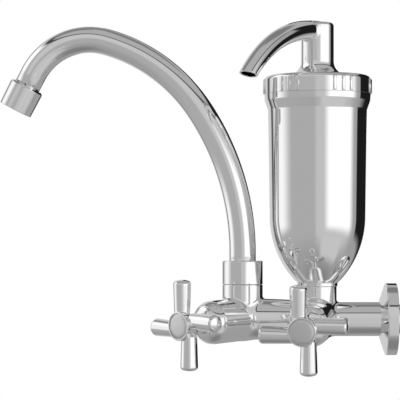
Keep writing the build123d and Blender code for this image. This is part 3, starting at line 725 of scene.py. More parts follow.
@dataclass
class Casting:
    """The cast body with its inlet, two tees and two valve branches.

    The bridge between the tees is given by (radius, distance) at both ends; the
    necks are those under the filter and under the spout.
    """

    pipe_radius: float = 11.75
    bridge: tuple[Point, Point] = ((13.0, 55.0), (14.3, 95.0))
    neck_radii: Point = (13.35, 14.15)
    neck_tops: Point = (23.0, 24.2)
    branch_radius: float = 15.0
    branch_straight: float = 29.5
    shoulder: float = 10.0
    face_radius: float = 11.6
    waterway: float = 7.0
    chamber: float = 10.53
    chamber_floor: float = 12.5
    well_floor: float = 13.0
    fillet: float = 2.2
    cell: float = 0.62
    thread_radius: float = 10.48
    thread_length: float = 14.0
    thread_pitch: float = 1.814
    thread_depth: float = 1.1
    thread_start: float = 2.2
    thread_runout: float = 1.2
    thread_chamfer: float = 0.9
    edge: float = 0.3
    neck_edge: float = 0.35
    past: float = 3.0
    chamber_gap: float = 0.03
    grow: float = 2.0
    wall_plane: float = 0.6

    def face(self) -> float:
        """How far the end face of a branch stands out."""
        drop = self.face_radius - (self.branch_radius - self.shoulder)
        return self.branch_straight + sqrt(self.shoulder**2 - drop**2)

    def branch(self, q: Array) -> Array:
        """Knuckle and branch with its rounded shoulder."""
        core = np.maximum(q[:, 2] - self.branch_straight, 0.0)
        reach = np.hypot(q[:, 0], q[:, 1])
        side = reach - self.branch_radius
        inner = self.branch_radius - self.shoulder
        dome = np.hypot(np.maximum(reach - inner, 0.0), core) - self.shoulder
        barrel = np.where(q[:, 2] > self.branch_straight, dome, side)
        barrel = np.maximum(barrel, -q[:, 2])
        barrel = blend_common(barrel, q[:, 2] - self.face(), self.edge)
        ball = np.linalg.norm(q, axis=1) - self.branch_radius
        return np.minimum(barrel, ball)

    def solid(self, reaches: Point, branches: Sequence[Matrix]) -> Field:
        """Distance function of the casting.

        Args:
            reaches: Distances of the two upright axes from the wall.
            branches: Frames of the two valve branches.
        """
        inverses = [(np.array(b.inverted().to_3x3()), np.array(b.translation)) for b in branches]

        def distance(p: Array) -> Array:
            """Distance in the row frame."""
            out = np.stack([p[:, 0], p[:, 2], -p[:, 1]], 1)
            body = bar(out, self.pipe_radius, 0.0, reaches[0])
            (small, begin), (large, stop) = self.bridge
            taper = small + (large - small) * np.clip((out[:, 2] - begin) / (stop - begin), 0, 1)
            bridge = np.hypot(out[:, 0], out[:, 1]) - taper
            bridge = np.maximum(bridge, np.maximum(reaches[0] - out[:, 2], out[:, 2] - reaches[1]))
            body = np.minimum(body, bridge)
            knuckles = [(p - place) @ turn.T for turn, place in inverses]
            for q in knuckles:
                body = blend_union(body, self.branch(q), self.fillet)
            for reach, radius, top in zip(reaches, self.neck_radii, self.neck_tops):
                q = p + np.array([0.0, reach, 0.0])
                body = blend_union(body, bar(q, radius, 0.0, top, self.neck_edge), self.fillet)
                end = top + self.past
                body = blend_cut(body, bar(q, self.waterway, 0.0, end), self.edge)
                well = bar(q, self.chamber - self.chamber_gap, self.well_floor, end)
                body = np.maximum(body, -well)
            body = np.maximum(body, -bar(out, self.waterway, -self.past, reaches[1]))
            for q in knuckles:
                chamber = bar(q, self.chamber, self.chamber_floor, self.face() + self.past)
                body = np.maximum(body, -chamber)
            return body

        return distance

    def stub(self) -> Shape:
        """Threaded end that goes into the wall."""
        outer = self.thread_radius
        root = outer - self.thread_depth
        length = self.thread_length
        start, runout = self.thread_start, self.thread_runout
        steps = int((length - start) / (self.thread_pitch / 10))
        run = (length - start - runout) / steps
        crest = [(outer, start + run * k) for k in range(steps + 1)]
        foot = [(self.waterway, -0.5), (root, -0.5), (root, start - 0.6)]
        end = [(outer - self.thread_chamfer, length, 0.3), (self.waterway, length, 0.3)]
        outline = rounded([*foot, *crest, *end])
        ripple = screw_thread(self.thread_pitch, self.thread_depth, start, length - runout, outer)
        return lathe(outline, 128, ripple)

    def build(self, shop: Workshop) -> None:
        """Makes the casting and its threaded inlet."""
        valves = [shop.joint(name + "_valve_turn") for name in ("filter", "main")]
        branches = [branch_matrix(joint) for joint in valves]
        reaches = tuple(-joint["pos_m"][1] / MM for joint in valves)
        solid = self.solid(reaches, branches)
        low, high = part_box("valve_body")
        box_low = tuple(c / MM - self.grow for c in low)
        box_high = (high[0] / MM + self.grow, self.wall_plane, high[2] / MM + self.grow)
        grid = Polygoniser(box_low, box_high, self.cell)
        body = grid.mesh(lambda p: np.maximum(solid(p), p[:, 1]))
        shop.piece("cast_body", body, "body", "cast_brass_chrome", "valve_body")
        stub = self.stub().moved(along_wall_axis() @ Matrix.Rotation(pi, 4, "X"))
        shop.piece("inlet_thread", stub, "body", "cast_brass_chrome", "valve_body")


@dataclass
class WallFlange:
    """Dished flange against the wall."""

    radius: float = 25.1
    rim: float = 7.4
    crown: float = 11.4
    bore: float = 11.9
    wall: float = 1.8
    edge: float = 0.9
    inner_drop: float = 0.5

    def build(self, shop: Workshop) -> None:
        """Makes the flange."""
        inner = self.radius - self.wall
        hollow = self.wall + self.inner_drop
        corners = [
            (inner, 0.0, 0.2),
            (self.radius, 0.0, 0.3),
            (self.radius, self.rim, self.edge),
            (self.bore + self.wall, self.crown, 0.7),
            (self.bore, self.crown, 0.25),
            (self.bore, self.crown - hollow, 0.2),
            (inner, self.rim - hollow, 0.5),
        ]
        shape = spun(corners, 192).moved(along_wall_axis())
        shop.piece("wall_flange_plate", shape, "body", "turned_chrome", "wall_flange")


@dataclass
class Headwork:
    """Valve insert; its dome and bonnet show behind a handle."""

    thread_radius: float = 10.48
    shoulder: float = 10.0
    shoulder_centre: float = 5.0
    straight: float = 29.5
    bonnet_radius: float = 7.2
    bonnet_end: float = 48.0
    bore: float = 4.05
    start: float = 26.0
    gap: float = 0.08

    def build(self, shop: Workshop, name: str, branch: Matrix, face: float) -> None:
        """Makes one insert.

        Args:
            shop: The workshop.
            name: Its node.
            branch: Frame of its branch.
            face: Height of the branch's end face.
        """
        neck = self.bonnet_radius - self.shoulder_centre
        dome_end = self.straight + sqrt(self.shoulder**2 - neck**2)
        low, high = (
            asin((end - self.straight) / self.shoulder) * 180 / pi for end in (face, dome_end)
        )
        dome = arc((self.shoulder_centre, self.straight), self.shoulder, low, high, 14)
        corners = [
            (self.bore, self.start),
            (self.thread_radius, self.start),
            (self.thread_radius, face + 0.02),
            *[(radius, height + self.gap) for radius, height in dome],
            (self.bonnet_radius, dome_end + 0.6),
            (self.bonnet_radius, self.bonnet_end, 0.6),
            (self.bore, self.bonnet_end, 0.3),
        ]
        shape = spun(corners, 128).moved(branch)
        shop.piece(name + "_bonnet", shape, "body", "bonnet_brass", name)


@dataclass
class CrossHandle:
    """Cross handle: a conical hub, four arms set like a pinwheel's, and a cap disc.

    Heights are measured out along the branch.
    """

    front: float = 62.1
    back: float = 48.5
    back_radius: float = 6.6
    front_radius: float = 10.15
    edge: float = 0.9
    arm_plane: float = 54.6
    arm_offset: float = 3.44
    arms: int = 4
    reach: float = 31.0
    root_radius: float = 5.2
    tip_radius: float = 6.15
    tip_edge: float = 1.4
    tip_dome: float = 0.9
    fillet: float = 1.0
    recess_radius: float = 8.86
    recess_floor: float = 59.9
    cap_radius: float = 8.8
    cap_bottom: float = 60.0
    cap_dome: float = 0.5
    cell: float = 0.42
    neck: float = 4.2
    cap_edge: float = 0.25
    recess_edge: float = 0.12
    past: float = 3.0
    grow: float = 1.2

    def arm(self, p: Array) -> Array:
        """One tapered arm along +X, off the centre, with a domed end."""
        slope = (self.tip_radius - self.root_radius) / self.reach
        radius = self.root_radius + slope * p[:, 0]
        side = np.hypot(p[:, 1] - self.arm_offset, p[:, 2] - self.arm_plane) - radius
        ball = dome_ball(self.tip_radius - self.tip_edge, self.tip_dome)
        middle = np.array([self.reach - ball, self.arm_offset, self.arm_plane])
        crown = np.linalg.norm(p - middle, axis=1) - ball
        return np.maximum(blend_common(side, crown, self.tip_edge), -p[:, 0])

    def solid(self, p: Array) -> Array:
        """Distance in the branch's frame."""
        hub = cone(p, (self.back_radius, self.back), (self.front_radius, self.front), self.edge)
        cross = None
        for k in range(self.arms):
            turn = 2 * pi * k / self.arms
            out = p[:, 0] * cos(turn) + p[:, 1] * sin(turn)
            left = p[:, 1] * cos(turn) - p[:, 0] * sin(turn)
            one = self.arm(np.stack([out, left, p[:, 2]], 1))
            cross = one if cross is None else np.minimum(cross, one)
        body = blend_union(hub, cross, self.fillet)
        recess = bar(p, self.recess_radius, self.recess_floor, self.front + self.past)
        body = blend_cut(body, recess, self.recess_edge)
        return np.maximum(body, -bar(p, self.neck, self.back - self.past, self.arm_plane - 2))

    def cap_disc(self) -> Shape:
        """The slightly domed disc in the hub's recess."""
        rim = self.front - self.cap_dome
        ball = dome_ball(self.cap_radius, self.cap_dome)
        crown = [
            (r, rim + sqrt(ball**2 - r**2) - (ball - self.cap_dome))
            for r in (0.0, 2.0, 4.0, 6.0, self.cap_radius - 2 * self.cap_edge)
        ]
        middle = (0.0, self.cap_bottom)
        corners = [(self.cap_radius, rim, self.cap_edge), (self.cap_radius, self.cap_bottom, 0.2)]
        edge = rounded([*corners, middle])[:-1]
        return lathe([*crown, *edge, middle], 128)

    def build(self, shop: Workshop, name: str, branch: Matrix, turn: float) -> None:
        """Makes one handle and its cap.

        Args:
            shop: The workshop.
            name: Start of its nodes' names.
            branch: Frame of its branch.
            turn: How far the cross stands turned at rest, in degrees.
        """
        body, handle, cap = name + "_valve", name + "_handle", name + "_handle_cap"
        reach = self.reach + self.grow
        low = (-reach, -reach, self.back - self.grow)
        high = (reach, reach, self.front + self.grow)
        place = branch @ Matrix.Rotation(radians(turn), 4, "Z")
        cross = Polygoniser(low, high, self.cell).mesh(self.solid).moved(place)
        shop.piece(handle + "_cross", cross, body, "handle_chrome", handle)
        disc = new_object(cap + "_disc", self.cap_disc().moved(place), shop.materials[cap])
        settle(disc, body, cap)


@dataclass
class SwanNeck:
    """The large spout: tube with three bends, collar and aerator."""

    tube_radius: float = 9.3
    tube_wall: float = 1.1
    seat: float = 27.0
    rise_end: float = 46.9
    radii: Point = (179.4, 119.5, 45.2)
    turns: Point = (34.1, 39.8, 78.4)
    outlet: float = 17.2
    rest_turn: float = -7.0
    collar_radius: float = 14.15
    collar_bottom: float = 24.4
    collar_top: float = 40.8
    spigot_radius: float = 10.0
    spigot_start: float = 12.8
    bore: float = 6.5
    aerator_length: float = 18.8
    aerator_cover: float = 8.0
    aerator_top: float = 12.3
    aerator_mouth: float = 12.0
    aerator_bore: float = 10.75
    lip_radius: float = 9.6
    lip_depth: float = 1.0
    aerator_taper: float = 1.2
    tube_gap: float = 0.03
    chord: float = 0.9

    def centreline(self) -> list[tuple[Vector, float]]:
        """Places (out, up) on the tube's centre line, with the heading from upright at each."""
        line = [(Vector((0.0, self.seat)), 0.0), (Vector((0.0, self.rise_end)), 0.0)]
        heading = 0.0
        place = Vector((0.0, self.rise_end))
        for radius, turn in zip(self.radii, self.turns):
            begin, start = heading, place.copy()
            steps = int(turn / self.chord)
            for k in range(1, steps + 1):
                heading = begin + radians(turn) * k / steps
                out = radius * (cos(begin) - cos(heading))
                up = radius * (sin(heading) - sin(begin))
                line.append((start + Vector((out, up)), heading))
            place = line[-1][0]
        end = place + Vector((sin(heading), cos(heading))) * self.outlet
        line.append((end, heading))
        return line

    def frame(self, axis: Matrix) -> Matrix:
        """Frame of the spout: X runs out along it."""
        return axis @ Matrix.Rotation(radians(self.rest_turn - 90), 4, "Z")

    def tube(self) -> Shape:
        """The bent tube with its wall, closed at both rims."""
        segments = 96
        angle = np.linspace(0, 2 * pi, segments, endpoint=False)
        rows = []
        line = self.centreline()
        for radius, stations in (
            (self.tube_radius, line),
            (self.tube_radius - self.tube_wall, line[::-1]),
        ):
            for place, heading in stations:
                side = Vector((cos(heading), 0.0, -sin(heading)))
                ring = np.outer(np.cos(angle), side) + np.outer(np.sin(angle), (0, 1, 0))
                rows.append(ring * radius + np.array([place.x, 0.0, place.y]))
        ids = np.arange(len(rows) * segments).reshape(len(rows), segments)
        return Shape(np.concatenate(rows), ring_faces(ids))

    def outlet_frame(self, axis: Matrix) -> Matrix:
        """Frame on the tube's mouth: Z runs out of it, in millimetres."""
        place, heading = self.centreline()[-1]
        out = Vector((sin(heading), 0.0, cos(heading)))
        side = Vector((0.0, 1.0, 0.0))
        mouth = Vector((place.x, 0.0, place.y))
        return self.frame(axis) @ placed(side.cross(out), side, out, mouth)

    def collar(self) -> Shape:
        """Collar with its spigot."""
        fit = self.tube_radius + self.tube_gap
        corners = [
            (self.bore, self.spigot_start, 0.3),
            (self.spigot_radius, self.spigot_start, 0.5),
            (self.spigot_radius, self.collar_bottom),
            (self.collar_radius, self.collar_bottom, 0.25),
            (self.collar_radius, self.collar_top, 0.9),
            (fit, self.collar_top, 0.25),
            (fit, self.seat),
            (self.bore, self.seat),
        ]
        return spun(corners)

    def aerator(self) -> Shape:
        """Sleeve on the mouth of the tube."""
        top = -self.aerator_cover
        bottom = top + self.aerator_length
        corners = [
            (self.aerator_bore, top, 0.2),
            (self.aerator_top - self.aerator_taper, top, 0.3),
            (self.aerator_top, top + self.aerator_taper, 0.5),
            (self.aerator_mouth, bottom, 0.6),
            (self.lip_radius, bottom, 0.3),
            (self.lip_radius, bottom - self.lip_depth, 0.2),
            (self.aerator_bore, bottom - self.lip_depth),
        ]
        return spun(corners, 144)

    def build(self, shop: Workshop) -> None:
        """Makes tube, collar and aerator."""
        axis = shop.upright("spout_swivel")
        outlet = self.outlet_frame(axis)
        for name, shape, slot, node in (
            ("swan_neck_tube", self.tube().moved(self.frame(axis)), "tube_chrome", "spout_tube"),
            ("spout_collar_ring", self.collar().moved(axis), "turned_chrome", "spout_collar"),
            ("aerator_sleeve", self.aerator().moved(outlet), "turned_chrome", "aerator_shell"),
        ):
            shop.piece(name, shape, "spout", slot, node)


@dataclass
class FilterBowl:
    """Bottle shaped bowl of the filter, with (radius, height) at its main rings."""

    wall: float = 2.4
    neck_radius: float = 14.0
    neck_bottom: float = 23.0
    neck_top: float = 25.6
    blend: float = 2.0
    curve: float = 66.0
    waist: Point = (33.4, 72.0)
    upper: Point = (34.4, 144.5)
    rim: Point = (37.1, 154.6)
    seam: float = 157.12
    mouth_top: float = 165.6
    thread_radius: float = 34.6
    mouth_radius: float = 31.6
    bore: float = 6.5
    spigot: Point = (10.45, 14.0)
    thread_pitch: float = 4.5
    thread_depth: float = 1.2
    thread_rows: int = 44
    thread_edge: float = 0.6

    def foot(self, wall: float) -> tuple[float, float]:
        """Radius and lowest angle of the bowl's round foot, a wall further in."""
        centre = self.waist[0] - self.curve
        start = self.neck_radius + self.blend - wall
        curve = self.curve - wall
        return curve, -acos((start - centre) / curve) * 180 / pi

    def shell(self) -> Shape:
        """The bowl with the thread of its mouth."""
        middle = (self.waist[0] - self.curve, self.waist[1])
        curve, low = self.foot(0.0)
        outer = arc(middle, curve, low, 0.0, 48)
        curve, low = self.foot(self.wall)
        inner = arc(middle, curve, 0.0, low, 32)
        run = self.mouth_top - self.seam - self.thread_edge
        crest = [
            (self.thread_radius, self.seam + 0.1 + run * k / self.thread_rows)
            for k in range(self.thread_rows + 1)
        ]
        corners = [
            (self.bore, self.spigot[1]),
            (self.spigot[0], self.spigot[1], 0.5),
            (self.spigot[0], self.neck_bottom),
            (self.neck_radius, self.neck_bottom, 0.3),
            (self.neck_radius, self.neck_top, 1.2),
            *outer,
            (self.upper[0] - 0.15, self.upper[1] - 12),
            (self.upper[0] + 0.15, self.upper[1] + 1.7, 4.0),
            (self.rim[0] - 0.2, self.rim[1] - 1.6, 4.0),
            (self.rim[0], self.seam, 0.1),
            (self.thread_radius, self.seam),
            *crest,
            (self.mouth_radius, self.mouth_top, 0.6),
            (self.mouth_radius, self.upper[1]),
            *inner,
            (self.bore, self.neck_top),
        ]
        end = self.mouth_top - self.thread_edge
        start = self.seam + 1.0
        ripple = screw_thread(self.thread_pitch, self.thread_depth, start, end, self.thread_radius)
        return lathe(rounded(corners), 192, ripple)

    def build(self, shop: Workshop) -> None:
        """Makes the bowl."""
        shape = self.shell().moved(shop.upright("cap_turn"))
        shop.piece("filter_bowl_shell", shape, "body", "bowl_chrome", "filter_bowl")


@dataclass
class FilterCap:
    """Cap with groups of grip ribs round its skirt."""

    radius: float = 37.1
    seam: float = 157.2
    top: float = 169.9
    edge: float = 3.0
    roof: float = 3.5
    bore: float = 34.9
    groups: int = 6
    in_group: int = 3
    first: float = 25.0
    pitch: float = 10.0
    proud: float = 1.0
    rib_width: float = 2.4
    rib_top: float = 167.6
    ring_radius: float = 31.4
    ring_wall: float = 2.2
    ring_depth: float = 7.4
    boss_radius: float = 11.5
    boss_bottom: float = 152.0
    well_radius: float = 8.1
    well_bottom: float = 158.0
    socket_radius: float = 6.4
    socket_top: float = 156.6
    web_bore: float = 4.0
    rib_root: float = 1.2
    rib_lift: float = 0.3
    rib_bevel: float = 0.85

    def shell(self) -> Shape:
        """The cap without its ribs."""
        roof = self.top - self.roof
        inner = self.ring_radius - self.ring_wall
        corners = [
            (self.radius, self.seam, 0.1),
            (self.radius, self.top, self.edge),
            (self.well_radius, self.top, 0.3),
            (self.well_radius, self.well_bottom),
            (self.web_bore, self.well_bottom),
            (self.web_bore, self.socket_top),
            (self.socket_radius, self.socket_top),
            (self.socket_radius, self.boss_bottom, 0.4),
            (self.boss_radius, self.boss_bottom, 0.5),
            (self.boss_radius, roof, 0.8),
            (inner, roof, 0.6),
            (inner, roof - self.ring_depth, 0.3),
            (self.ring_radius, roof - self.ring_depth, 0.5),
            (self.ring_radius, roof),
            (self.bore, roof),
            (self.bore, self.seam, 0.3),
        ]
        return spun(corners, 240, steps=8)

    def rib(self, work: Any) -> None:
        """Forms one rib, standing on the X axis at the skirt."""
        root, bottom = self.rib_root, self.seam + self.rib_lift
        bmesh.ops.create_cube(work, size=1.0)
        height = self.rib_top - bottom
        size = Vector((root + self.proud, self.rib_width, height))
        middle = Vector((self.radius + (self.proud - root) / 2, 0.0, bottom + height / 2))
        for vert in work.verts:
            vert.co = Vector(a * b for a, b in zip(vert.co, size)) + middle
        soft = [e for e in work.edges if min(v.co.x for v in e.verts) > self.radius]
        bmesh.ops.bevel(
            work, geom=soft, offset=self.rib_bevel, segments=5, profile=0.5, affect="EDGES"
        )
        bmesh.ops.scale(work, vec=(MM, MM, MM), verts=work.verts)
        bmesh.ops.recalc_face_normals(work, faces=work.faces)

    def rib_tree(self, material: Any) -> Any:
        """Geometry nodes that set the ribs in groups round the cap."""
        group = bpy.data.node_groups.new("grip_ribs", "GeometryNodeTree")
        for name, kind in (
            ("Rib", "NodeSocketObject"),
            ("Groups", "NodeSocketInt"),
            ("In Group", "NodeSocketInt"),
            ("First Angle", "NodeSocketFloat"),
            ("Pitch", "NodeSocketFloat"),
        ):
            group.interface.new_socket(name, in_out="INPUT", socket_type=kind)
        group.interface.new_socket("Geometry", in_out="OUTPUT", socket_type="NodeSocketGeometry")
        tree = Tree(group)
        source = group.nodes.new("NodeGroupInput").outputs
        rib, groups, in_group, first, pitch = (Sock(tree, s) for s in list(source)[:5])
        number = tree.node("GeometryNodeInputIndex")
        lot = tree.math("FLOOR", (number + 0.5) / in_group)
        within = number - lot * in_group - (in_group - 1.0) * 0.5
        angle = first + lot * (2 * pi) / groups + within * pitch
        points = tree.node("GeometryNodePoints", Count=groups * in_group)
        turn = tree.node("ShaderNodeCombineXYZ", Z=angle)
        form = tree.node("GeometryNodeObjectInfo", Object=rib).output("Geometry")
        ring = tree.node(
            "GeometryNodeInstanceOnPoints", Points=points, Instance=form, Rotation=turn
        )
        real = tree.node("GeometryNodeRealizeInstances", Geometry=ring)
        dressed = tree.node("GeometryNodeSetMaterial", Geometry=real, Material=material)
        tree.end(dressed, "Geometry", "NodeGroupOutput")
        return group

    def build(self, shop: Workshop) -> None:
        """Makes the cap and its ribs."""
        axis = shop.upright("cap_turn")
        shell = self.shell().moved(axis)
        shop.piece("filter_cap_shell", shell, "cap", "cap_chrome", "filter_cap")
        mesh = formed(bpy.data.meshes.new("rib_form"), self.rib)
        form = bpy.data.objects.new("rib_form", mesh)
        values = {
            "Rib": form,
            "Groups": self.groups,
            "In Group": self.in_group,
            "First Angle": radians(self.first),
            "Pitch": radians(self.pitch),
        }
        tree = self.rib_tree(shop.materials["cap_chrome"])
        ribs = from_nodes("filter_cap_ribs", tree, values)
        ribs.data.transform(Matrix.Translation(axis.translation * MM))
        ribs.data.shade_smooth()
        bpy.data.objects.remove(form)
        settle(ribs, "cap", "filter_cap")


def from_nodes(name: str, group: Any, values: dict) -> Any:
    """Turns a geometry node tree into a plain mesh object.

    Args:
        name: The object's name.
        group: The tree.
        values: Values of its inputs by name.

    Returns:
        The object, with no modifier left.
    """
    holder = linked(name + "_source", bpy.data.meshes.new(name + "_source"))
    modifier = holder.modifiers.new("nodes", "NODES")
    modifier.node_group = group
    for item in group.interface.items_tree:
        if item.in_out == "INPUT" and item.name in values:
            modifier[item.identifier] = values[item.name]
    graph = bpy.context.evaluated_depsgraph_get()
    mesh = bpy.data.meshes.new_from_object(holder.evaluated_get(graph), depsgraph=graph)
    bpy.data.objects.remove(holder)
    mesh.name = name
    return linked(name, mesh)


@dataclass
class DrinkingSpout:
    """Small spout on the cap: a flared post and a tapered curved tube."""

    turn: float = 52.0
    post_radius: float = 11.4
    post_top: float = 207.8
    post_edge: float = 2.0
    dome: float = 0.6
    flare: float = 9.5
    base_bottom: float = 170.1
    base_height: float = 0.8
    spigot_radius: float = 8.0
    spigot_bottom: float = 158.2
    bore: float = 5.0
    nose_height: float = 201.3
    straight: float = 4.1
    bend: float = 100.8
    bend_angle: float = 50.0
    root_radius: float = 6.9
    tip_radius: float = 5.9
    wall: float = 1.2
    mouth_tilt: float = 15.0
    fillet: float = 1.6
    base_edge: float = 0.25
    spigot_edge: float = 0.2
    mouth_edge: float = 0.35
    bore_edge: float = 0.3
    cell: float = 0.5
    past: float = 8.0
    grow: float = 1.5

    def nose(self, p: Array, thinner: float) -> Array:
        """Tapered bar along the bent centre line, thinner by the given wall."""
        drop = p[:, 2] - (self.nose_height - self.bend)
        out = p[:, 0] - self.straight
        angle = np.arctan2(out, drop)
        bent = np.hypot(out, drop) - self.bend
        side = np.where(out > 0, bent, p[:, 2] - self.nose_height)
        run = np.where(out > 0, self.straight + self.bend * angle, p[:, 0])
        length = self.straight + self.bend * radians(self.bend_angle) + 2 * self.tip_radius
        share = np.clip(run / length, 0.0, 1.0)
        radius = self.root_radius + (self.tip_radius - self.root_radius) * share - thinner
        return np.maximum(np.hypot(side, p[:, 1]) - radius, -p[:, 0])

    def mouth(self, p: Array) -> Array:
        """Positive beyond the slanted mouth."""
        bend = radians(self.bend_angle)
        tilt = radians(self.mouth_tilt)
        reach = self.straight + self.bend * sin(bend)
        height = self.nose_height - self.bend * (1 - cos(bend))
        return (p[:, 0] - reach) * sin(tilt) - (p[:, 2] - height) * cos(tilt)

    def solid(self, p: Array) -> Array:
        """Distance in the frame of the small spout."""
        ball = dome_ball(self.post_radius - self.post_edge, self.dome)
        side = np.hypot(p[:, 0], p[:, 1])
        crown = np.sqrt(side**2 + (p[:, 2] - self.post_top + ball) ** 2) - ball
        post = blend_common(side - self.post_radius, crown, self.post_edge)
        post = np.maximum(post, self.base_bottom - p[:, 2])
        ledge = self.base_bottom + self.base_height
        base = bar(p, self.post_radius + self.flare, self.base_bottom, ledge, self.base_edge)
        foot = blend_union(post, base, self.flare)
        foot = np.maximum(foot, self.base_bottom - p[:, 2])
        body = blend_union(foot, self.nose(p, 0.0), self.fillet)
        top = self.base_bottom + 1
        spigot = bar(p, self.spigot_radius, self.spigot_bottom, top, self.spigot_edge)
        body = blend_common(np.minimum(body, spigot), self.mouth(p), self.mouth_edge)
        well = bar(p, self.bore, self.spigot_bottom - 2, self.nose_height)
        ball_top = np.sqrt(side**2 + (p[:, 2] - self.nose_height) ** 2) - self.bore
        hollow = np.minimum(np.minimum(well, ball_top), self.nose(p, self.wall))
        return blend_cut(body, hollow, self.bore_edge)

    def build(self, shop: Workshop) -> None:
        """Makes the small spout."""
        turn = Matrix.Rotation(radians(self.turn - 90), 4, "Z")
        place = shop.upright("drinking_spout_swivel") @ turn
        wide = self.post_radius + self.flare + 1.0
        reach = self.straight + self.bend * sin(radians(self.bend_angle)) + self.past
        low = (-wide, -wide, self.spigot_bottom - self.grow)
        high = (reach, wide, self.post_top + self.grow)
        shape = Polygoniser(low, high, self.cell).mesh(self.solid).moved(place)
        body, slot = "drinking_spout", "filter_spout_chrome"
        shop.piece("drinking_spout_cast", shape, body, slot, "filter_spout")


@dataclass(frozen=True)
class Panel:
    """One panel of the light tent, seen from the faucet.

    Attributes:
        name: What stands there.
        grey: Its brightness.
        azimuth: Its sides, in degrees from +X towards +Y.
        rise: Its lower and upper edge, in degrees above the horizon.
        soft: Widths of its soft sides and of its soft lower and upper edge.
        lean: How much its edges sink for each degree to the right.
    """

    name: str
    grey: float
    azimuth: Point
    rise: Point
    soft: Point
    lean: float = 0.0

    def cover(self, value: Sock, span: Point, soft: float) -> Sock:
        """1 inside a span, fading to 0 over soft edges centred on its ends."""
        half = soft / 2
        inside = value.smooth(span[0] - half, span[0] + half)
        beyond = value.smooth(span[1] - half, span[1] + half)
        return inside * (1.0 - beyond)

    def lay(self, below: Any, turn: Sock, rise: Sock) -> Sock:
        """Brightness with the panel laid over what is behind it.

        Args:
            below: The brightness behind the panel.
            turn: Azimuth in degrees.
            rise: Elevation in degrees.
        """
        level = turn * self.lean + rise if self.lean else rise
        sides = self.cover(turn, self.azimuth, self.soft[0])
        mask = sides * self.cover(level, self.rise, self.soft[1])
        mask.socket.node.label = self.name
        return mask * (self.grey - below) + below


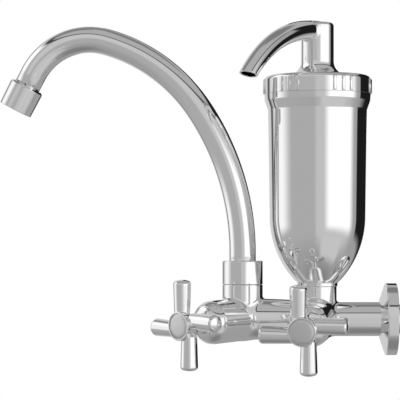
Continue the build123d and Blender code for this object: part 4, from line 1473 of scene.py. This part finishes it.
@dataclass
class Studio:
    """Camera, light tent, lamp, floor and world.

    Attributes:
        distance: Camera distance in pixels of the photograph.
        horizon: Row of the photograph at the camera's height.
        pixel: Size of a pixel at the faucet's middle, in metres.
        middle: Place along the wall axis at the photograph's middle.
        level: Height of the camera.
        tent_radius: Radius of the light tent.
        floor_drop: Depth of the floor below the inlet axis.
        floor_radius: Radius of the floor.
        lamp_place: Where the lamp hangs.
        lamp_size: Its width and height.
        lamp_power: Its power, in watts.
        aim_height: Height that it points at.
        wall_grey: Brightness of the tent where no panel stands.
        panels: The panels, each laid over those before it.
    """

    distance: float = 1900.0
    horizon: float = 255.0
    pixel: float = 0.0007
    middle: float = -0.1372
    level: float = 0.0449
    tent_radius: float = 14.0
    floor_drop: float = 0.32
    floor_radius: float = 2.6
    lamp_place: Point = (1.1, -1.2, 1.7)
    lamp_size: Point = (1.6, 1.2)
    lamp_power: float = 9.0
    aim_height: float = 0.05
    wall_grey: float = 0.44
    panels: tuple[Panel, ...] = (
        Panel("front wall", 0.57, (-8.0, 360.0), (-90.0, 90.0), (10.0, 1.0)),
        Panel("upper wall", 0.60, (-52.0, 70.0), (9.0, 60.0), (24.0, 14.0)),
        Panel("right end", 0.37, (85.0, 360.0), (-90.0, 90.0), (30.0, 1.0)),
        Panel("right softbox", 1.14, (18.0, 85.0), (-14.0, 22.0), (18.0, 14.0)),
        Panel("left softbox", 1.03, (-123.0, -81.0), (-12.0, 50.0), (34.0, 12.0)),
        Panel("left softbox top", 1.14, (-130.0, -76.0), (26.0, 44.0), (20.0, 10.0)),
        Panel("left back", 0.66, (-360.0, -133.0), (-45.0, 45.0), (12.0, 20.0)),
        Panel("left gap", 0.10, (-142.0, -131.0), (-60.0, 40.0), (6.0, 20.0)),
        Panel("floor", 0.36, (-360.0, 360.0), (-200.0, -33.0), (1.0, 34.0)),
        Panel("lower right wall", 0.60, (5.0, 66.0), (-52.0, -20.0), (14.0, 16.0)),
        Panel("table", 0.23, (-360.0, 360.0), (-200.0, -64.0), (1.0, 30.0)),
        Panel("black flag", 0.012, (103.0, 360.0), (-14.0, 58.0), (3.0, 10.0)),
        Panel("ceiling", 0.45, (-360.0, 360.0), (46.0, 200.0), (1.0, 4.0), 0.06),
        Panel("ceiling back left", 0.24, (-360.0, -92.0), (46.0, 82.0), (16.0, 8.0)),
        Panel("ceiling back right", 0.22, (96.0, 360.0), (54.0, 82.0), (16.0, 8.0)),
        Panel("ceiling seam", 0.07, (-120.0, 100.0), (42.0, 48.0), (12.0, 3.0), 0.07),
    )

    def camera(self) -> None:
        """The photograph's camera."""
        data = bpy.data.cameras.new("photo_camera")
        data.sensor_width = SENSOR
        data.lens = self.distance / PHOTO_WIDTH * SENSOR
        data.shift_y = (self.horizon - PHOTO_WIDTH / 2) / PHOTO_WIDTH
        data.clip_end = 50.0
        made = linked("photo_camera", data)
        made.location = (self.distance * self.pixel, self.middle, self.level)
        made.rotation_euler = (pi / 2, 0.0, pi / 2)
        bpy.context.scene.camera = made

    def tent(self) -> None:
        """Light tent with grey and black panels, seen only in reflections."""

        def ball(work: Any) -> None:
            """The tent's skin, facing inwards."""
            bmesh.ops.create_uvsphere(work, u_segments=96, v_segments=48, radius=self.tent_radius)
            bmesh.ops.reverse_faces(work, faces=work.faces)

        mesh = formed(bpy.data.meshes.new("light_tent"), ball)
        mesh.shade_smooth()
        mesh.materials.append(self.tent_material())
        made = linked("light_tent", mesh)
        made.visible_camera = False
        made.visible_diffuse = False
        made.visible_shadow = False
        made.visible_transmission = False

    def tent_material(self) -> Any:
        """The panels, laid one over the other by direction."""
        tree = MaterialTree("light_tent")
        unit = tree.vector("NORMALIZE", tree.place)
        parts = tree.node("ShaderNodeSeparateXYZ", None, unit)
        x, y, z = (parts.output(name) for name in "XYZ")
        turn = tree.math("ARCTAN2", y, x) * (180 / pi)
        rise = tree.math("ARCSINE", z) * (180 / pi)
        light: Any = self.wall_grey
        for panel in self.panels:
            light = panel.lay(light, turn, rise)
        tree.end(tree.node("ShaderNodeEmission", Color=WHITE, Strength=light), "Surface")
        return tree.material

    def world(self) -> None:
        """Plain white world."""
        world = bpy.data.worlds.new("white_room")
        world.use_nodes = True
        bpy.context.scene.world = world
        tree = Tree(world.node_tree)
        glow = tree.node("ShaderNodeBackground", Color=WHITE, Strength=1.0)
        tree.end(glow, "Surface", "ShaderNodeOutputWorld")

    def lamp(self) -> None:
        """One large soft lamp from the upper front."""
        data = bpy.data.lights.new("soft_lamp", "AREA")
        data.shape = "RECTANGLE"
        data.size, data.size_y = self.lamp_size
        data.energy = self.lamp_power
        made = linked("soft_lamp", data)
        made.location = self.lamp_place
        aim = Vector((0.0, self.middle, self.aim_height)) - Vector(self.lamp_place)
        made.rotation_euler = aim.to_track_quat("-Z", "Y").to_euler()
        made.visible_glossy = False

    def floor(self) -> None:
        """Plain pale floor below the faucet."""

        def disc(work: Any) -> None:
            """A flat disc."""
            bmesh.ops.create_circle(work, cap_ends=True, segments=96, radius=self.floor_radius)

        mesh = formed(bpy.data.meshes.new("floor"), disc)
        pale = Solid("pale_floor", (0.86, 0.86, 0.86), roughness=0.9, grain=60.0, contrast=0.02)
        mesh.materials.append(pale.build())
        made = linked("floor", mesh)
        made.location = (0.0, self.middle, -self.floor_drop)
        made.visible_glossy = False

    def build(self) -> None:
        """The whole studio."""
        bpy.context.scene.view_settings.view_transform = "Standard"
        self.camera()
        self.tent()
        self.world()
        self.lamp()
        self.floor()


def finishes(frame: dict) -> dict:
    """Every material by its slot, with one turned cap face for each handle."""
    plain = {
        "cast_brass_chrome": Chrome("polished_casting", ripple=0.02),
        "handle_chrome": Chrome("polished_handle", ripple=0.015),
        "handle_cap_satin": Chrome("cap_face", CAP_GREY, turned=True),
        "tube_chrome": Chrome("polished_tube", ripple=0.01),
        "turned_chrome": Chrome("turned_and_plated", ripple=0.006),
        "bowl_chrome": Chrome("plated_bowl"),
        "cap_chrome": Chrome("plated_cap"),
        "filter_spout_chrome": Chrome("polished_small_spout"),
        "bonnet_brass": Chrome("plated_bonnet", ripple=0.006),
        "plain_brass": Solid("plain_brass", (0.62, 0.42, 0.16), 0.3, 1.0),
        "screw_steel": Solid("screw_steel", (0.52, 0.52, 0.53), 0.32, 1.0),
        "ring_steel": Solid("ring_steel", (0.42, 0.42, 0.43), 0.38, 1.0),
        "seal_rubber": Solid("seal_rubber", (0.02, 0.02, 0.02), 0.62, contrast=0.3),
        "disc_ceramic": Solid("disc_ceramic", (0.80, 0.78, 0.72), 0.22, contrast=0.06),
        "white_plastic": Solid("white_plastic", (0.78, 0.78, 0.76), 0.45, contrast=0.05),
        "clear_grid_plastic": Solid("grid_plastic", (0.42, 0.43, 0.45), 0.4, contrast=0.08),
        "carbon_block": Solid(
            "carbon_block", (0.035, 0.035, 0.038), 0.85, grain=500.0, contrast=0.5, relief=0.0003
        ),
    }
    made = {slot: finish.build() for slot, finish in plain.items()}
    for name in CROSS_TURNS:
        joint = joint_named(frame, name + "_valve_turn")
        rings = {"centre": tuple(joint["pos_m"]), "axis": tuple(joint["axis"])}
        face = Chrome(name + "_cap_face", CAP_GREY, turned=True, **rings)
        made[name + "_handle_cap"] = face.build()
    return made


def main() -> None:
    """Builds the faucet and the studio in order."""
    logging.basicConfig(level=logging.INFO, format="%(name)s: %(message)s")
    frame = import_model()
    shop = Workshop(frame, finishes(frame))
    shop.dress_nodes()
    casting = Casting()
    casting.build(shop)
    WallFlange().build(shop)
    for name, turn in CROSS_TURNS.items():
        branch = branch_matrix(shop.joint(name + "_valve_turn"))
        Headwork().build(shop, name + "_headwork", branch, casting.face())
        CrossHandle().build(shop, name, branch, turn)
    for piece in (SwanNeck(), FilterBowl(), FilterCap(), DrinkingSpout()):
        piece.build(shop)
    Studio().build()


if __name__ == "__main__":
    main()
